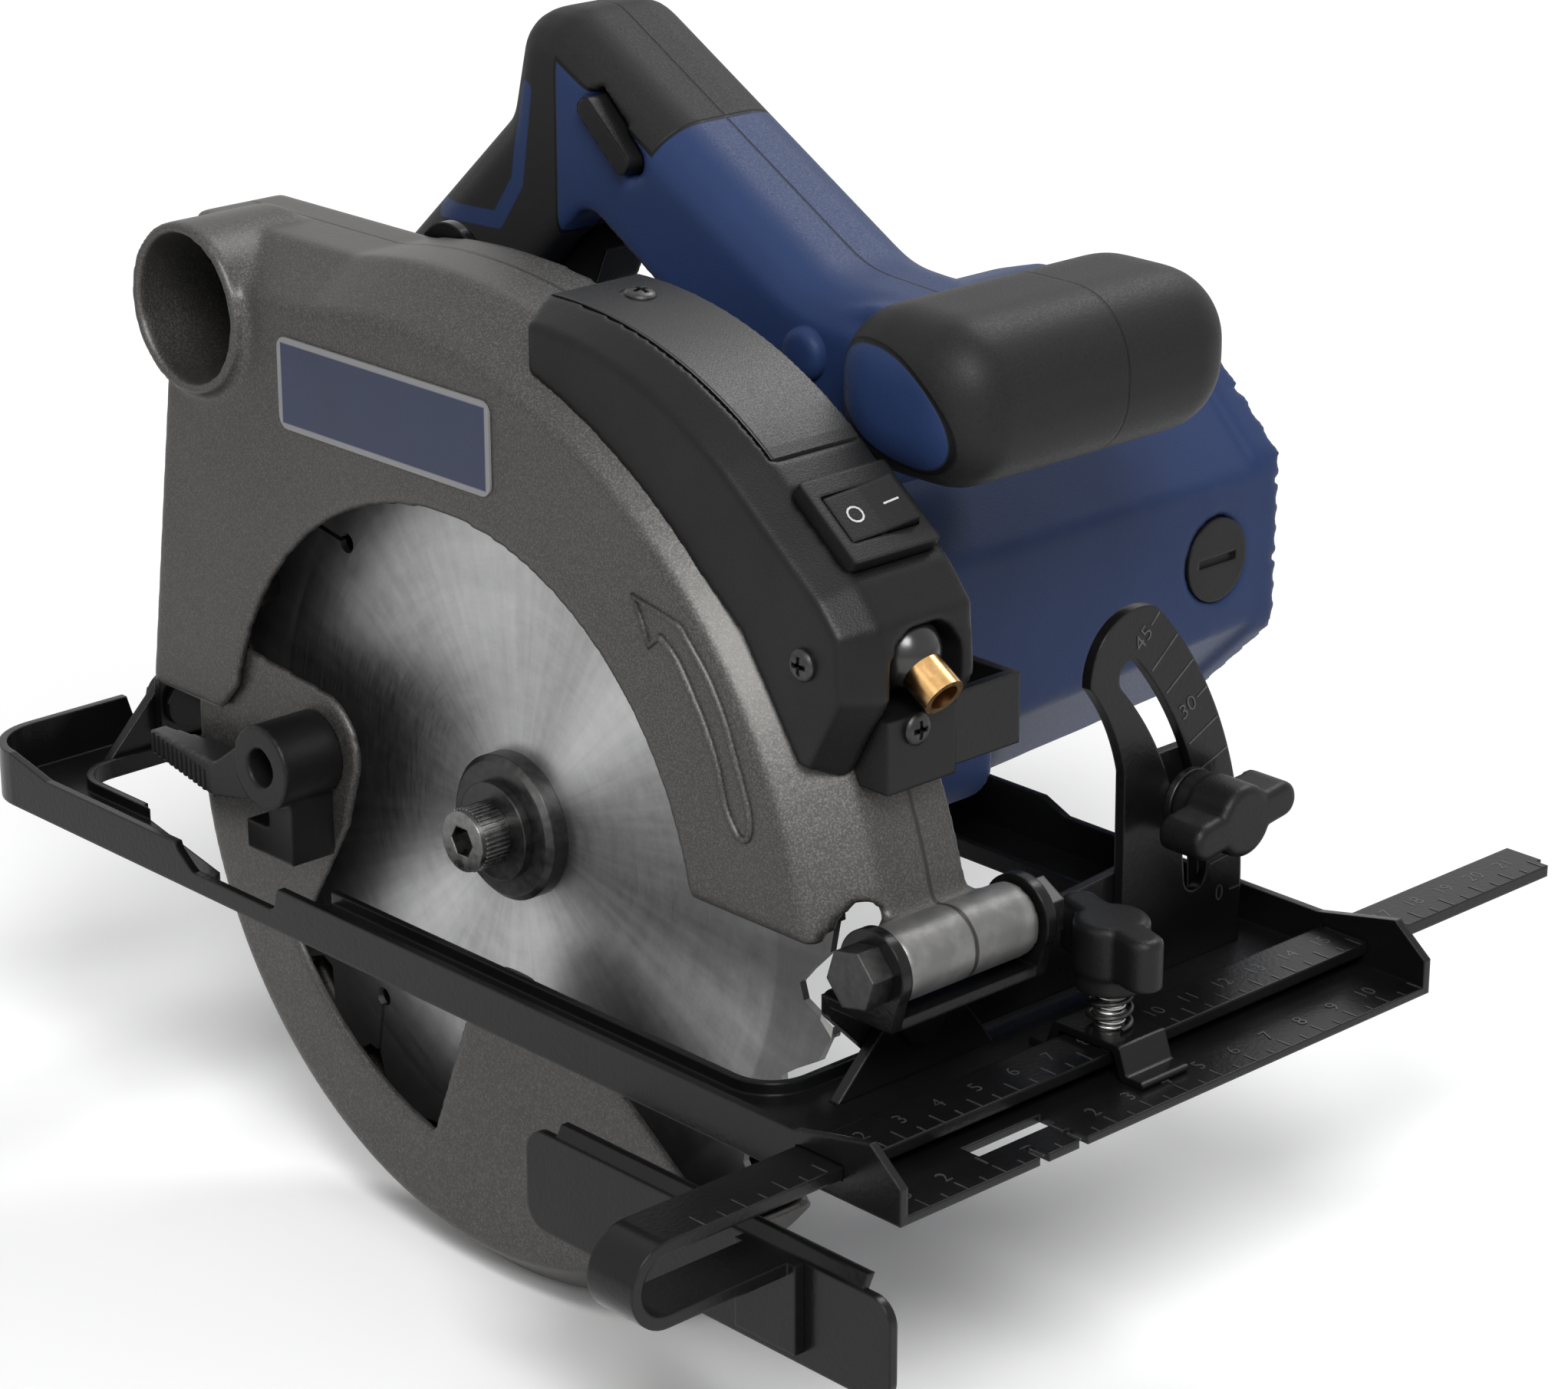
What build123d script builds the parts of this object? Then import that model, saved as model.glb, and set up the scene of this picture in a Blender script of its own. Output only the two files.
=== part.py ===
"""Circular saw: stamped shoe, tilting bracket, cast guards, geared motor, laser guide and side fence.

Millimetres. +X is the cutting direction, +Y the motor side, +Z up.
x = 0 is the arbor, y = 0 the middle of the blade and z = 0 the sole.
"""
import os
from math import acos, cos, degrees, pi, radians, sin, sqrt, tan

from build123d import *

# Clearances
GAP = 0.4
SLIDE_GAP = 0.3
RUN_GAP = 0.05

# Blade and arbor
ARBOR_Z = 24.5
BLADE_R = 95.0
BLADE_T = 1.6
KERF = 2.4
TEETH = 24
GULLET_DEPTH = 10.4
GULLET_R = BLADE_R - GULLET_DEPTH
BORE_R = 10.0
FIRST_TIP_DEG = -10.3
FLANGE_R = 15.6
FLANGE_T = 5.0
WASHER_R = 10.5
WASHER_T = 2.2
BOLT_R = 4.0
BOLT_HEAD_R = 6.5
BOLT_HEAD_L = 8.0
BOLT_L = 22.0
SPINDLE_R = 7.5

# Gears and motor
GEAR_MODULE = 1.25
GEAR_TEETH = 33
PINION_TEETH = 21
GEAR_ADDENDUM = 0.8
GEAR_DEDENDUM = 1.0
GEAR_BACKLASH = 0.15
PRESSURE_DEG = 20.0
GEAR_Y = 26.0
GEAR_W = 9.0
MOTOR_X = 8.0
MOTOR_SHAFT_R = 4.5
CASE_R = 22.4
CASE_MOTOR_R = 36.0
CASE_WALL = 1.6
CASE_Y = 46.0
MOTOR_HALF = 46.5
MOTOR_FACET = 20.0
MOTOR_Y = 172.0
MOTOR_TAPER_DEG = 2.7
LUG_R = 11.0
LUG_OUT = 37.0
LUG_DOWN = 25.0
END_T = 8.0
RIB_COUNT = 17
RIB_DEEP = 1.4
STATOR_R = 34.0
CORE_R = 22.0
CORE_Y0 = 82.0
CORE_Y1 = 128.0
FAN_R = 33.0
FAN_Y0 = 62.0
FAN_T = 10.0
COMMUTATOR_R = 12.0
BRUSH_Y = 158.0
BRUSH_CAP_R = 9.5
BEARING_R = 13.0
BEARING_T = 8.0

# Shoe
SHOE_FRONT = BLADE_R + 54.0
SHOE_REAR = -BLADE_R - 52.0
SHOE_RIGHT = -37.5
SHOE_LEFT = 112.3
SHOE_T = 1.6
SHOE_CORNER = 14.0
RIM_H = 9.5
RIM_T = 1.8
STEP_H = 4.2
TAB_H = 12.4
TAB_X0 = 22.0
TAB_X1 = 43.0
RIM_PEAK_Z = 13.8
RIM_PEAK_X = SHOE_FRONT - 8.0
RIM_END_Z = 7.4
RIM_GAP_X0 = -66.0
RIM_GAP_X1 = -36.0
OPEN_X0 = SHOE_REAR + 16.0
OPEN_X1 = BLADE_R + 2.0
OPEN_Y0 = -21.0
OPEN_Y1 = 95.0
OPEN_CORNER = 9.0
LIP_H = 4.2
LIP_T = 1.6
RELIEF_Y = -33.9

# Bevel pivot, along X, and its quadrant
PIVOT_Y = 8.3
PIVOT_Z = 14.0
PIVOT_R = 3.5
PLATE_T = 2.4
QUADRANT_X = BLADE_R + 10.0
SLOT_R = 79.5
QUADRANT_R = SLOT_R + 14.0
SLOT_W = 6.8
SLOT_LOW_DEG = 4.5
BEVEL_DEG = 45.0
STUD_REST_DEG = 17.0
STUD_TRAVEL_DEG = 26.0
BEVEL_STUD_R = 3.0

# Depth hinge, along Y, and the depth rail
HINGE_X = BLADE_R + 20.5
HINGE_Z = 31.5
BARREL_R = 7.5
BARREL_Y0 = -9.5
BARREL_Y1 = 26.0
HINGE_BOLT_R = 4.0
EAR_T = 2.5
EAR_R = 8.5
WEB_Z = 20.7
WEB_FRONT = HINGE_X + 5.5
RAIL_R = 187.0
RAIL_W = 19.0
RAIL_Y = 19.0
DEPTH_DEG = 30.0
RAIL_LOW_DEG = 178.0
DEPTH_STUD_R = 3.6

# Guards
GUARD_FACE_Y = -17.0
GUARD_BEVEL_Y = -4.0
GUARD_SEAM_Y = 8.4
GUARD_BACK_Y = 18.0
GUARD_WALL = 2.2
GUARD_TOP_Z = ARBOR_Z + BLADE_R + 17.5
BEVEL_IN = 9.0
WINDOW_R = 74.0
WINDOW_X = -3.0
WINDOW_Z = 20.0
NOSE_Z = 34.0
LEG_Z = 31.5
PORT_X = -83.0
PORT_Z = 121.0
PORT_R = 16.0
PORT_OUT_R = 18.3
PORT_FACE_Y = -20.5
PORT_IN_Y = 6.0
LOWER_R = BLADE_R + 5.0
LOWER_BEVEL = 8.0
LOWER_BEVEL_Y = 9.0
LOWER_FACE_Y = -14.4
LOWER_BACK_Y = 8.4
LOWER_WALL = 2.0
LOWER_REAR_DEG = 168.0
LOWER_FRONT_DEG = -38.0
HUB_R = 24.0
HUB_WALL = 4.0
LEVER_X = -50.0
LEVER_Z = 30.0
LEVER_R = 9.2
LEVER_FACE_Y = -29.5
LEVER_IN_Y = -18.0

# Laser guide
LASER_X = BLADE_R + 15.0
LASER_Z = BLADE_R + 46.0
LASER_TOP_Y = 19.0
LASER_SIDE_Y = -5.0
LASER_FLANK = 8.0
LASER_TAPER_DEG = 24.0
LASER_WALL = 2.2
BALL_X = LASER_X - 5.0
BALL_Z = LASER_Z - 53.0
BALL_R = 7.0
LASER_Y = 6.0
TUBE_R = 4.3
TUBE_L = 15.5
TUBE_DEG = -32.0
CLAMP_Y0 = -3.0
CLAMP_Y1 = 15.0
CLAMP_Z = LASER_Z - 78.5
CLAMP_TOP_Z = LASER_Z - 64.0
ROCKER_X = LASER_X - 15.0
ROCKER_Z = LASER_Z - 29.0
ROCKER_L = 16.0
ROCKER_W = 10.5
ROCKER_GAP = 0.8
ROCKER_RIM = 3.0
ROCKER_PIN_R = 0.8
ROCKER_PIN_L = 3.0
ROCKER_SLOPE = 38.0

# Handle
HANDLE_Y = 58.0
HANDLE_Z = MOTOR_HALF + 57.5
HANDLE_HALF = 18.0
HANDLE_STEPS = ((4.0, 14.0), (3.5, 35.0), (2.5, 60.0))
HANDLE_EDGE = sum(depth for depth, _ in HANDLE_STEPS)
GRIP_X = 81.0
GRIP_Z = HANDLE_Z + 21.8
GRIP_Y0 = 26.0
GRIP_Y1 = 106.0
GRIP_L = 41.0
GRIP_H = 34.0
GRIP_EDGE = 15.0
TRIGGER_HALF = 7.0
TRIGGER_TRAVEL = 6.0
BUTTON_TRAVEL = 3.0

# Fence
BAR_X = HINGE_X + 12.5
BAR_W = 12.0
BAR_T = 2.5
BAR_Z = 4.2
BAR_END_Y = 172.0
BAR_BEND_Y = -80.0
FENCE_Y = -47.0
FENCE_T = 1.8
FENCE_X0 = 58.0
FENCE_X1 = 158.0
FENCE_Z0 = -29.0
FENCE_Z1 = -8.0
STRAP_Y = 40.0
STRAP_W = 13.0
STRAP_T = 1.6
KNOB_Z = 17.0
KNOB_H = 14.5
KNOB_R = 7.5
WING_L = 15.0
WING_T = 7.5
FENCE_KNOB_DEG = -15.0
BEVEL_KNOB_DEG = 8.0
SCREW_R = 3.0
SPRING_R = 4.2
SPRING_WIRE = 1.0
SPRING_TURNS = 2.5

GEAR_CENTRES = GEAR_MODULE * (GEAR_TEETH + PINION_TEETH) / 2
MOTOR_Z = ARBOR_Z + sqrt(GEAR_CENTRES**2 - MOTOR_X**2)


def polar(r, deg, cx=0.0, cz=0.0):
    """Point at radius r and angle deg about (cx, cz) in a plane."""
    return (cx + r * cos(radians(deg)), cz + r * sin(radians(deg)))


def about_arbor(r, deg):
    return polar(r, deg, 0.0, ARBOR_Z)


def about_hinge(r, deg):
    return polar(r, deg, HINGE_X, HINGE_Z)


def about_pivot(r, deg):
    return polar(r, deg, PIVOT_Y, PIVOT_Z)


def side_plane(y):
    """Plane at y seen from the blade side: its x is X and its y is Z."""
    return Plane((0, y, 0), x_dir=(1, 0, 0), z_dir=(0, -1, 0))


def tapered(face, y, depth, taper):
    """Extrude a face drawn in (x, z) from y towards the blade side, narrowing by taper degrees."""
    body = extrude(face, depth, taper=taper)
    if body.bounding_box().max.Z < depth / 2:
        body = mirror(body, Plane.XY)
    return side_plane(y) * body


def xz_plate(face, y0, y1):
    """Extrude a face drawn in (x, z) from y0 to y1."""
    return extrude(side_plane(y1) * face, y1 - y0, dir=(0, -1, 0))


def yz_plate(face, x0, x1):
    """Extrude a face drawn in (y, z) from x0 to x1."""
    return extrude(Plane((x0, 0, 0), x_dir=(0, 1, 0), z_dir=(1, 0, 0)) * face, x1 - x0, dir=(1, 0, 0))


def xy_plate(face, z0, z1):
    return extrude(Plane((0, 0, z0)) * face, z1 - z0, dir=(0, 0, 1))


def block(x0, x1, y0, y1, z0, z1):
    return Pos((x0 + x1) / 2, (y0 + y1) / 2, (z0 + z1) / 2) * Box(x1 - x0, y1 - y0, z1 - z0)


def y_rod(r, y0, y1, x=0.0, z=ARBOR_Z):
    return Pos(x, (y0 + y1) / 2, z) * Rot(90, 0, 0) * Cylinder(r, y1 - y0)


def x_rod(r, x0, x1, y, z):
    return Pos((x0 + x1) / 2, y, z) * Rot(0, 90, 0) * Cylinder(r, x1 - x0)


def z_rod(r, z0, z1, x, y):
    return Pos(x, y, (z0 + z1) / 2) * Cylinder(r, z1 - z0)


def y_tube(r_out, r_in, y0, y1, x=0.0, z=ARBOR_Z):
    return y_rod(r_out, y0, y1, x, z) - y_rod(r_in, y0, y1, x, z)


def polygon(*points):
    return make_face(Polyline(*points, close=True))


def rounded(radius, *points):
    """Polygon with every corner rounded."""
    return make_face(FilletPolyline(*points, radius=radius, close=True))


def pieces(shapes):
    """Group of separate solids in one node."""
    return Compound(children=[s for shape in shapes for s in shape.solids()])


# Shoe

def shoe_outline():
    plate = Pos((SHOE_FRONT + SHOE_REAR) / 2, (SHOE_LEFT + SHOE_RIGHT) / 2) * Rectangle(
        SHOE_FRONT - SHOE_REAR, SHOE_LEFT - SHOE_RIGHT
    )
    rear = plate.vertices().sort_by(Axis.X)[:2]
    return fillet(rear, SHOE_CORNER)


def opening_outline(grow=0.0):
    """Blade and motor opening."""
    return Pos((OPEN_X0 + OPEN_X1) / 2, (OPEN_Y0 + OPEN_Y1) / 2) * RectangleRounded(
        OPEN_X1 - OPEN_X0 + 2 * grow, OPEN_Y1 - OPEN_Y0 + 2 * grow, OPEN_CORNER + grow
    )


def lever_relief():
    """Room beside the opening for the lever of the lower guard at full bevel."""
    inner = OPEN_Y0 + LIP_T + 1.0
    taper_x = RIM_GAP_X0 - 38.0
    taper_y = RELIEF_Y + 4.4
    return polygon(
        (taper_x, inner),
        (taper_x, OPEN_Y0 - 1.0),
        (RIM_GAP_X0, taper_y),
        (RIM_GAP_X0 + 4.0, RELIEF_Y),
        (RIM_GAP_X1 - 1.5, RELIEF_Y),
        (RIM_GAP_X1, OPEN_Y0 - 2.0),
        (RIM_GAP_X1, inner),
    )


def raised_rim(outline):
    """Taller lengths of the rim: the rear edge and a tab on the motor side."""
    wall = xy_plate(outline, 0, TAB_H) - xy_plate(offset(outline, -RIM_T), -1, TAB_H + 1)
    run = 14.0
    rear_x = SHOE_REAR + SHOE_CORNER
    rear = polygon(
        (SHOE_REAR - 1, 0), (rear_x + run, 0), (rear_x + run, RIM_H), (rear_x, TAB_H), (SHOE_REAR - 1, TAB_H)
    )
    tab = polygon(
        (TAB_X0 - run, 0), (TAB_X1 + run / 2, 0), (TAB_X1 + run / 2, RIM_H),
        (TAB_X1, TAB_H), (TAB_X0, TAB_H), (TAB_X0 - run, RIM_H),
    )
    zone = xz_plate(rear, SHOE_RIGHT - 1, SHOE_LEFT + 1) + xz_plate(tab, SHOE_LEFT - SHOE_CORNER, SHOE_LEFT + 1)
    return wall & zone


def make_shoe():
    outline = shoe_outline()
    rim = xy_plate(outline, 0, RIM_H) - xy_plate(offset(outline, -RIM_T), SHOE_T, RIM_H + 1)
    front_x = SHOE_FRONT - 2 * SHOE_CORNER
    rim -= block(front_x, SHOE_FRONT + 1, SHOE_RIGHT - 1, SHOE_LEFT + 1, SHOE_T, RIM_H + 1)
    cheek = polygon(
        (front_x, 0), (SHOE_FRONT, 0), (SHOE_FRONT, RIM_END_Z), (RIM_PEAK_X, RIM_PEAK_Z), (front_x, RIM_H)
    )
    body = rim + raised_rim(outline) + xz_plate(cheek, SHOE_RIGHT, SHOE_RIGHT + RIM_T)
    body += xz_plate(cheek, SHOE_LEFT - RIM_T, SHOE_LEFT)
    notch = polygon((2.5, TAB_H + 1), (4.5, 7.0), (8.5, 7.0), (10.0, TAB_H + 1))
    body -= yz_plate(notch, SHOE_REAR - 1, SHOE_REAR + RIM_T + 0.2)
    lip = xy_plate(opening_outline(LIP_T), 0, LIP_H)
    body = body + lip - xy_plate(opening_outline(), -1, LIP_H + 1)
    body -= xy_plate(lever_relief(), -1, LIP_H + 1)
    gap = polygon(
        (RIM_GAP_X0 - 5.0, RIM_H + 1),
        (RIM_GAP_X0 - 4.0, RIM_H - 1.5),
        (RIM_GAP_X0, STEP_H + 0.8),
        (RIM_GAP_X0 + 1.5, STEP_H),
        (RIM_GAP_X1 - 1.5, STEP_H),
        (RIM_GAP_X1, STEP_H + 0.8),
        (RIM_GAP_X1 + 0.5, RIM_H - 1.5),
        (RIM_GAP_X1 + 2.0, RIM_H + 1),
    )
    body -= xz_plate(gap, SHOE_RIGHT - 1, SHOE_RIGHT + RIM_T + 0.2)
    half = BAR_W / 2 + SLIDE_GAP
    body -= block(
        BAR_X - half, BAR_X + half, SHOE_RIGHT - 5, SHOE_LEFT + 5, BAR_Z - SLIDE_GAP, BAR_Z + BAR_T + SLIDE_GAP
    )
    sight_x0 = BAR_X + half + 2.0
    body -= block(sight_x0, sight_x0 + 4.5, -9.0, 12.0, -1, SHOE_T + 1)
    zero_half = 1.2
    body -= block(SHOE_FRONT - 5, SHOE_FRONT + 1, -zero_half, zero_half, -1, SHOE_T + 1)
    mitre_y = PIVOT_Y * (1 - 1 / cos(radians(BEVEL_DEG))) + PIVOT_Z * tan(radians(BEVEL_DEG))
    body -= block(SHOE_FRONT - 5, SHOE_FRONT + 1, mitre_y - zero_half, mitre_y + zero_half, -1, SHOE_T + 1)
    return body


def quadrant_outline():
    top = about_pivot(QUADRANT_R, 46.0)
    zero = about_pivot(QUADRANT_R, -1.7)
    neck = about_pivot(SLOT_R - 13.0, 30.8)
    bulge = about_pivot(SLOT_R - 8.0, 49.3)
    foot_y = neck[0] + 0.6
    edges = [
        Line((foot_y, SHOE_T), neck),
        ThreePointArc(neck, about_pivot(SLOT_R - 10.4, 39.0), bulge),
        ThreePointArc(bulge, about_pivot(SLOT_R + 4.0, 51.6), top),
        ThreePointArc(top, about_pivot(QUADRANT_R, 22.0), zero),
        Line(zero, (zero[0], SHOE_T)),
        Line((zero[0], SHOE_T), (foot_y, SHOE_T)),
    ]
    return make_face(edges)


def arc_slot(radius, centre, low_deg, high_deg, width):
    return SlotArc(CenterArc(centre, radius, low_deg, high_deg - low_deg), width)


def make_quadrant():
    slot_high = STUD_REST_DEG + STUD_TRAVEL_DEG
    face = quadrant_outline() - arc_slot(SLOT_R, (PIVOT_Y, PIVOT_Z), SLOT_LOW_DEG, slot_high, SLOT_W)
    return yz_plate(face, QUADRANT_X, QUADRANT_X + PLATE_T)


def gusset_face():
    """Pivot plate whose slanted flank is the stop at full bevel."""
    reach = WEB_Z - PIVOT_Z - GAP
    foot = (PIVOT_Y - sqrt(2) * reach - (PIVOT_Z - SHOE_T), SHOE_T)
    stop = about_pivot(reach, 90 + BEVEL_DEG)
    top = about_pivot(reach, 90)
    shoulder = (top[0] + reach, top[1])
    knee = (PIVOT_Y + 16.0, 8.5)
    toe = (PIVOT_Y + 21.0, SHOE_T)
    edges = [Line(foot, stop), ThreePointArc(stop, about_pivot(reach, 90 + BEVEL_DEG / 2), top)]
    edges += [Line(top, shoulder), Line(shoulder, knee), Line(knee, toe), Line(toe, foot)]
    return make_face(edges)


def make_gusset(x0):
    hole = x_rod(PIVOT_R, x0 - 1, x0 + PLATE_T + 1, PIVOT_Y, PIVOT_Z)
    return yz_plate(gusset_face(), x0, x0 + PLATE_T) - hole


REAR_GUSSET_X = OPEN_X0 - LIP_T - PLATE_T - 0.2
ARM_X = QUADRANT_X - GAP - PLATE_T
REAR_FOOT_X = REAR_GUSSET_X + PLATE_T + GAP


def make_rivets():
    """Front and rear bevel pivots: a shank with a head at each end."""
    head_r = 5.6
    head_t = 1.6
    rivets = []
    for low, high in ((ARM_X, QUADRANT_X + PLATE_T), (REAR_GUSSET_X, REAR_FOOT_X + PLATE_T)):
        rivet = x_rod(PIVOT_R, low - GAP, high + GAP, PIVOT_Y, PIVOT_Z)
        rivet += x_rod(head_r, low - GAP - head_t, low - GAP, PIVOT_Y, PIVOT_Z)
        rivet += x_rod(head_r, high + GAP, high + GAP + head_t, PIVOT_Y, PIVOT_Z)
        rivets.append(rivet)
    return pieces(rivets)


def make_strap():
    """Stamped bridge over the fence bar, with the threaded hole of the winged screw."""
    foot = 6.0
    half = BAR_W / 2 + 3.0
    low = BAR_Z + BAR_T + GAP
    top = low + STRAP_T
    slope = 2.0
    side = rounded(
        0.7,
        (BAR_X - half - foot, SHOE_T),
        (BAR_X - half - foot, SHOE_T + STRAP_T),
        (BAR_X - half - STRAP_T, SHOE_T + STRAP_T),
        (BAR_X - half - STRAP_T + slope, top),
        (BAR_X + half + STRAP_T - slope, top),
        (BAR_X + half + STRAP_T, SHOE_T + STRAP_T),
        (BAR_X + half + foot, SHOE_T + STRAP_T),
        (BAR_X + half + foot, SHOE_T),
        (BAR_X + half, SHOE_T),
        (BAR_X + half - slope, low),
        (BAR_X - half + slope, low),
        (BAR_X - half, SHOE_T),
    )
    strap = xz_plate(side, STRAP_Y - STRAP_W / 2, STRAP_Y + STRAP_W / 2)
    return strap - z_rod(SCREW_R + RUN_GAP, SHOE_T, top + 1, BAR_X, STRAP_Y)


STRAP_TOP = BAR_Z + BAR_T + GAP + STRAP_T


# Fence

def make_fence_bar():
    """Flat bar with scale side up, bent back under itself to carry the fence plate."""
    bend = 6.0
    under = BAR_Z - 2 * bend - BAR_T
    flange_y = FENCE_Y - FENCE_T
    x0 = BAR_X - BAR_W / 2
    x1 = BAR_X + BAR_W / 2
    bar = block(x0, x1, BAR_BEND_Y, BAR_END_Y, BAR_Z, BAR_Z + BAR_T)
    bar -= block(x1 - 3, x1 + 1, BAR_END_Y - 1.5, BAR_END_Y + 1, BAR_Z - 1, BAR_Z + BAR_T + 1)
    middle = BAR_Z - bend
    ring = Circle(bend + BAR_T) - Circle(bend)
    half_ring = Pos(BAR_BEND_Y, middle) * (ring & Pos(-50, 0) * Rectangle(100, 100))
    bar += yz_plate(half_ring, x0, x1)
    bar += block(x0, x1, BAR_BEND_Y, flange_y, under, under + BAR_T)
    bar += block(x0 - 2, x1 + 2, flange_y - BAR_T, flange_y, FENCE_Z0 + 3, under + BAR_T)
    return bar


def make_fence_plate():
    lip = 4.0
    lip_t = FENCE_T
    side = RectangleRounded(FENCE_X1 - FENCE_X0, FENCE_Z1 - FENCE_Z0, 5.0)
    plate = xz_plate(
        Pos((FENCE_X0 + FENCE_X1) / 2, (FENCE_Z0 + FENCE_Z1) / 2) * side, FENCE_Y - FENCE_T, FENCE_Y
    )
    slant = polygon(
        (FENCE_Y, FENCE_Z1 - lip_t),
        (FENCE_Y - FENCE_T, FENCE_Z1 - lip_t),
        (FENCE_Y - FENCE_T + lip - lip_t, FENCE_Z1 + lip - lip_t),
        (FENCE_Y + lip - lip_t, FENCE_Z1 + lip - lip_t),
    )
    inset = 8.0
    return plate + yz_plate(slant, FENCE_X0 + inset, FENCE_X1 - inset)


def wing_face(reach, thick, core):
    """Two-winged knob seen along its axis."""
    bar = RectangleRounded(2 * reach, thick, thick / 2 - 0.2)
    return bar + Circle(core)


def winged_knob(height):
    """Round foot, then the wings; the top edge is rounded."""
    foot = 5.0
    knob = extrude(Circle(KNOB_R - 0.5), foot)
    knob += Pos(0, 0, foot - 1) * extrude(wing_face(WING_L, WING_T, KNOB_R), height - foot + 1)
    return fillet(knob.edges().group_by(Axis.Z)[-1], 1.5)


def make_fence_knob():
    turned = Pos(BAR_X, STRAP_Y, KNOB_Z) * Rot(0, 0, FENCE_KNOB_DEG)
    return turned * winged_knob(KNOB_H) - z_rod(SCREW_R, KNOB_Z - 1, KNOB_Z + KNOB_H - 6, BAR_X, STRAP_Y)


def make_fence_screw():
    return z_rod(SCREW_R, BAR_Z + BAR_T + 0.1, KNOB_Z + KNOB_H - 6, BAR_X, STRAP_Y)


def biarc(p0, t0, p1, t1):
    """Two tangent arcs from p0 along t0 to p1 along t1."""
    chord = p1 - p0
    across = chord.dot(t0 + t1)
    spread = 2 * (1 - t0.dot(t1))
    reach = (-across + sqrt(across**2 + spread * chord.dot(chord))) / spread
    q0 = p0 + t0 * reach
    q1 = p1 - t1 * reach
    joint = (q0 + q1) * 0.5
    return [TangentArc(p0, joint, tangent=t0), TangentArc(joint, p1, tangent=(q1 - q0).normalized())]


def make_fence_spring():
    """Coil spring round the winged screw, between the strap and the knob."""
    low = STRAP_TOP + SPRING_WIRE / 2 + RUN_GAP
    high = KNOB_Z - SPRING_WIRE / 2 - RUN_GAP
    quarters = int(SPRING_TURNS * 4)
    rise = (high - low) / quarters

    def point(k):
        a = k * pi / 2
        return Vector(BAR_X + SPRING_R * cos(a), STRAP_Y + SPRING_R * sin(a), low + rise * k)

    def tangent(k):
        a = k * pi / 2
        return Vector(-SPRING_R * sin(a), SPRING_R * cos(a), rise * 2 / pi).normalized()

    start = point(0) - tangent(0) * SPRING_WIRE
    end = point(quarters) + tangent(quarters) * SPRING_WIRE
    path = [Line(start, point(0))]
    for k in range(quarters):
        path += biarc(point(k), tangent(k), point(k + 1), tangent(k + 1))
    path.append(Line(point(quarters), end))
    wire = Wire(path)
    steps = 24 * quarters
    track = [wire.position_at(i / steps) for i in range(steps + 1)]
    turn = steps * 4 // quarters
    apart = min((a - b).length for i, a in enumerate(track) for b in track[i + turn // 2:])
    print("fence spring gap to itself", round(apart - SPRING_WIRE, 2))
    return sweep(Plane(start, z_dir=tangent(0)) * Circle(SPRING_WIRE / 2), path=wire)


# Tilting bracket, depth rail and bevel clamp

def make_tilt_bracket():
    """Stamped bracket: two ears, a web under the hinge and an arm behind the quadrant."""
    lobe_low = about_pivot(SLOT_R, -7.0)
    lobe_r = 11.5
    swing = (PIVOT_Z - SHOE_T - 1.0) * sqrt(2)
    low_z = 4.4
    ear_y = BARREL_Y0 - GAP - EAR_T
    arm = rounded(
        2.0,
        (ear_y, PIVOT_Z - swing + PIVOT_Y - ear_y),
        (PIVOT_Y - swing + PIVOT_Z - low_z, low_z),
        (lobe_low[0] + 8.0, low_z),
        (lobe_low[0] + 9.0, 24.0),
        (about_pivot(SLOT_R + lobe_r, 22.0)[0], 48.0),
        (about_pivot(SLOT_R - lobe_r, 26.0)[0], 48.0),
        (about_pivot(SLOT_R - lobe_r, 10.0)[0] - 5.0, 26.0),
        (BARREL_Y1 + 8.0, WEB_Z + EAR_T),
        (ear_y, WEB_Z + EAR_T),
    )
    low = STUD_REST_DEG + STUD_TRAVEL_DEG - BEVEL_DEG
    arm -= arc_slot(SLOT_R, (PIVOT_Y, PIVOT_Z), low, STUD_REST_DEG, SLOT_W)
    arm -= Pos(PIVOT_Y, PIVOT_Z) * Circle(PIVOT_R + RUN_GAP)
    bracket = yz_plate(arm, ARM_X, ARM_X + PLATE_T)
    y0 = BARREL_Y0 - GAP - EAR_T
    y1 = BARREL_Y1 + GAP + EAR_T
    bracket += block(ARM_X, WEB_FRONT, y0, y1, WEB_Z, WEB_Z + EAR_T - 0.4)
    ear = Pos(HINGE_X, HINGE_Z) * Circle(EAR_R)
    ear += polygon(
        (HINGE_X - EAR_R, HINGE_Z), (HINGE_X - EAR_R, WEB_Z), (WEB_FRONT, WEB_Z), (HINGE_X + EAR_R, HINGE_Z)
    )
    ear -= Pos(HINGE_X, HINGE_Z) * Circle(HINGE_BOLT_R)
    bracket += xz_plate(ear, y0, y0 + EAR_T)
    bracket += xz_plate(ear, y1 - EAR_T, y1)
    return bracket


def hexagon(across):
    return RegularPolygon(across / sqrt(3), 6)


def make_hinge_bolt():
    across = 11.0
    y0 = BARREL_Y0 - GAP - EAR_T
    y1 = BARREL_Y1 + GAP + EAR_T
    head = xz_plate(Pos(HINGE_X, HINGE_Z) * Rot(0, 0, 12) * hexagon(across), y0 - 5.5, y0)
    bolt = head + y_rod(HINGE_BOLT_R, y0 - 1, y1 + 6.0, HINGE_X, HINGE_Z)
    nut = xz_plate(Pos(HINGE_X, HINGE_Z) * Rot(0, 0, 30) * hexagon(across), y1, y1 + 5.0)
    nut -= y_rod(HINGE_BOLT_R, y1 - 1, y1 + 7, HINGE_X, HINGE_Z)
    return pieces([bolt, nut])


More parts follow.
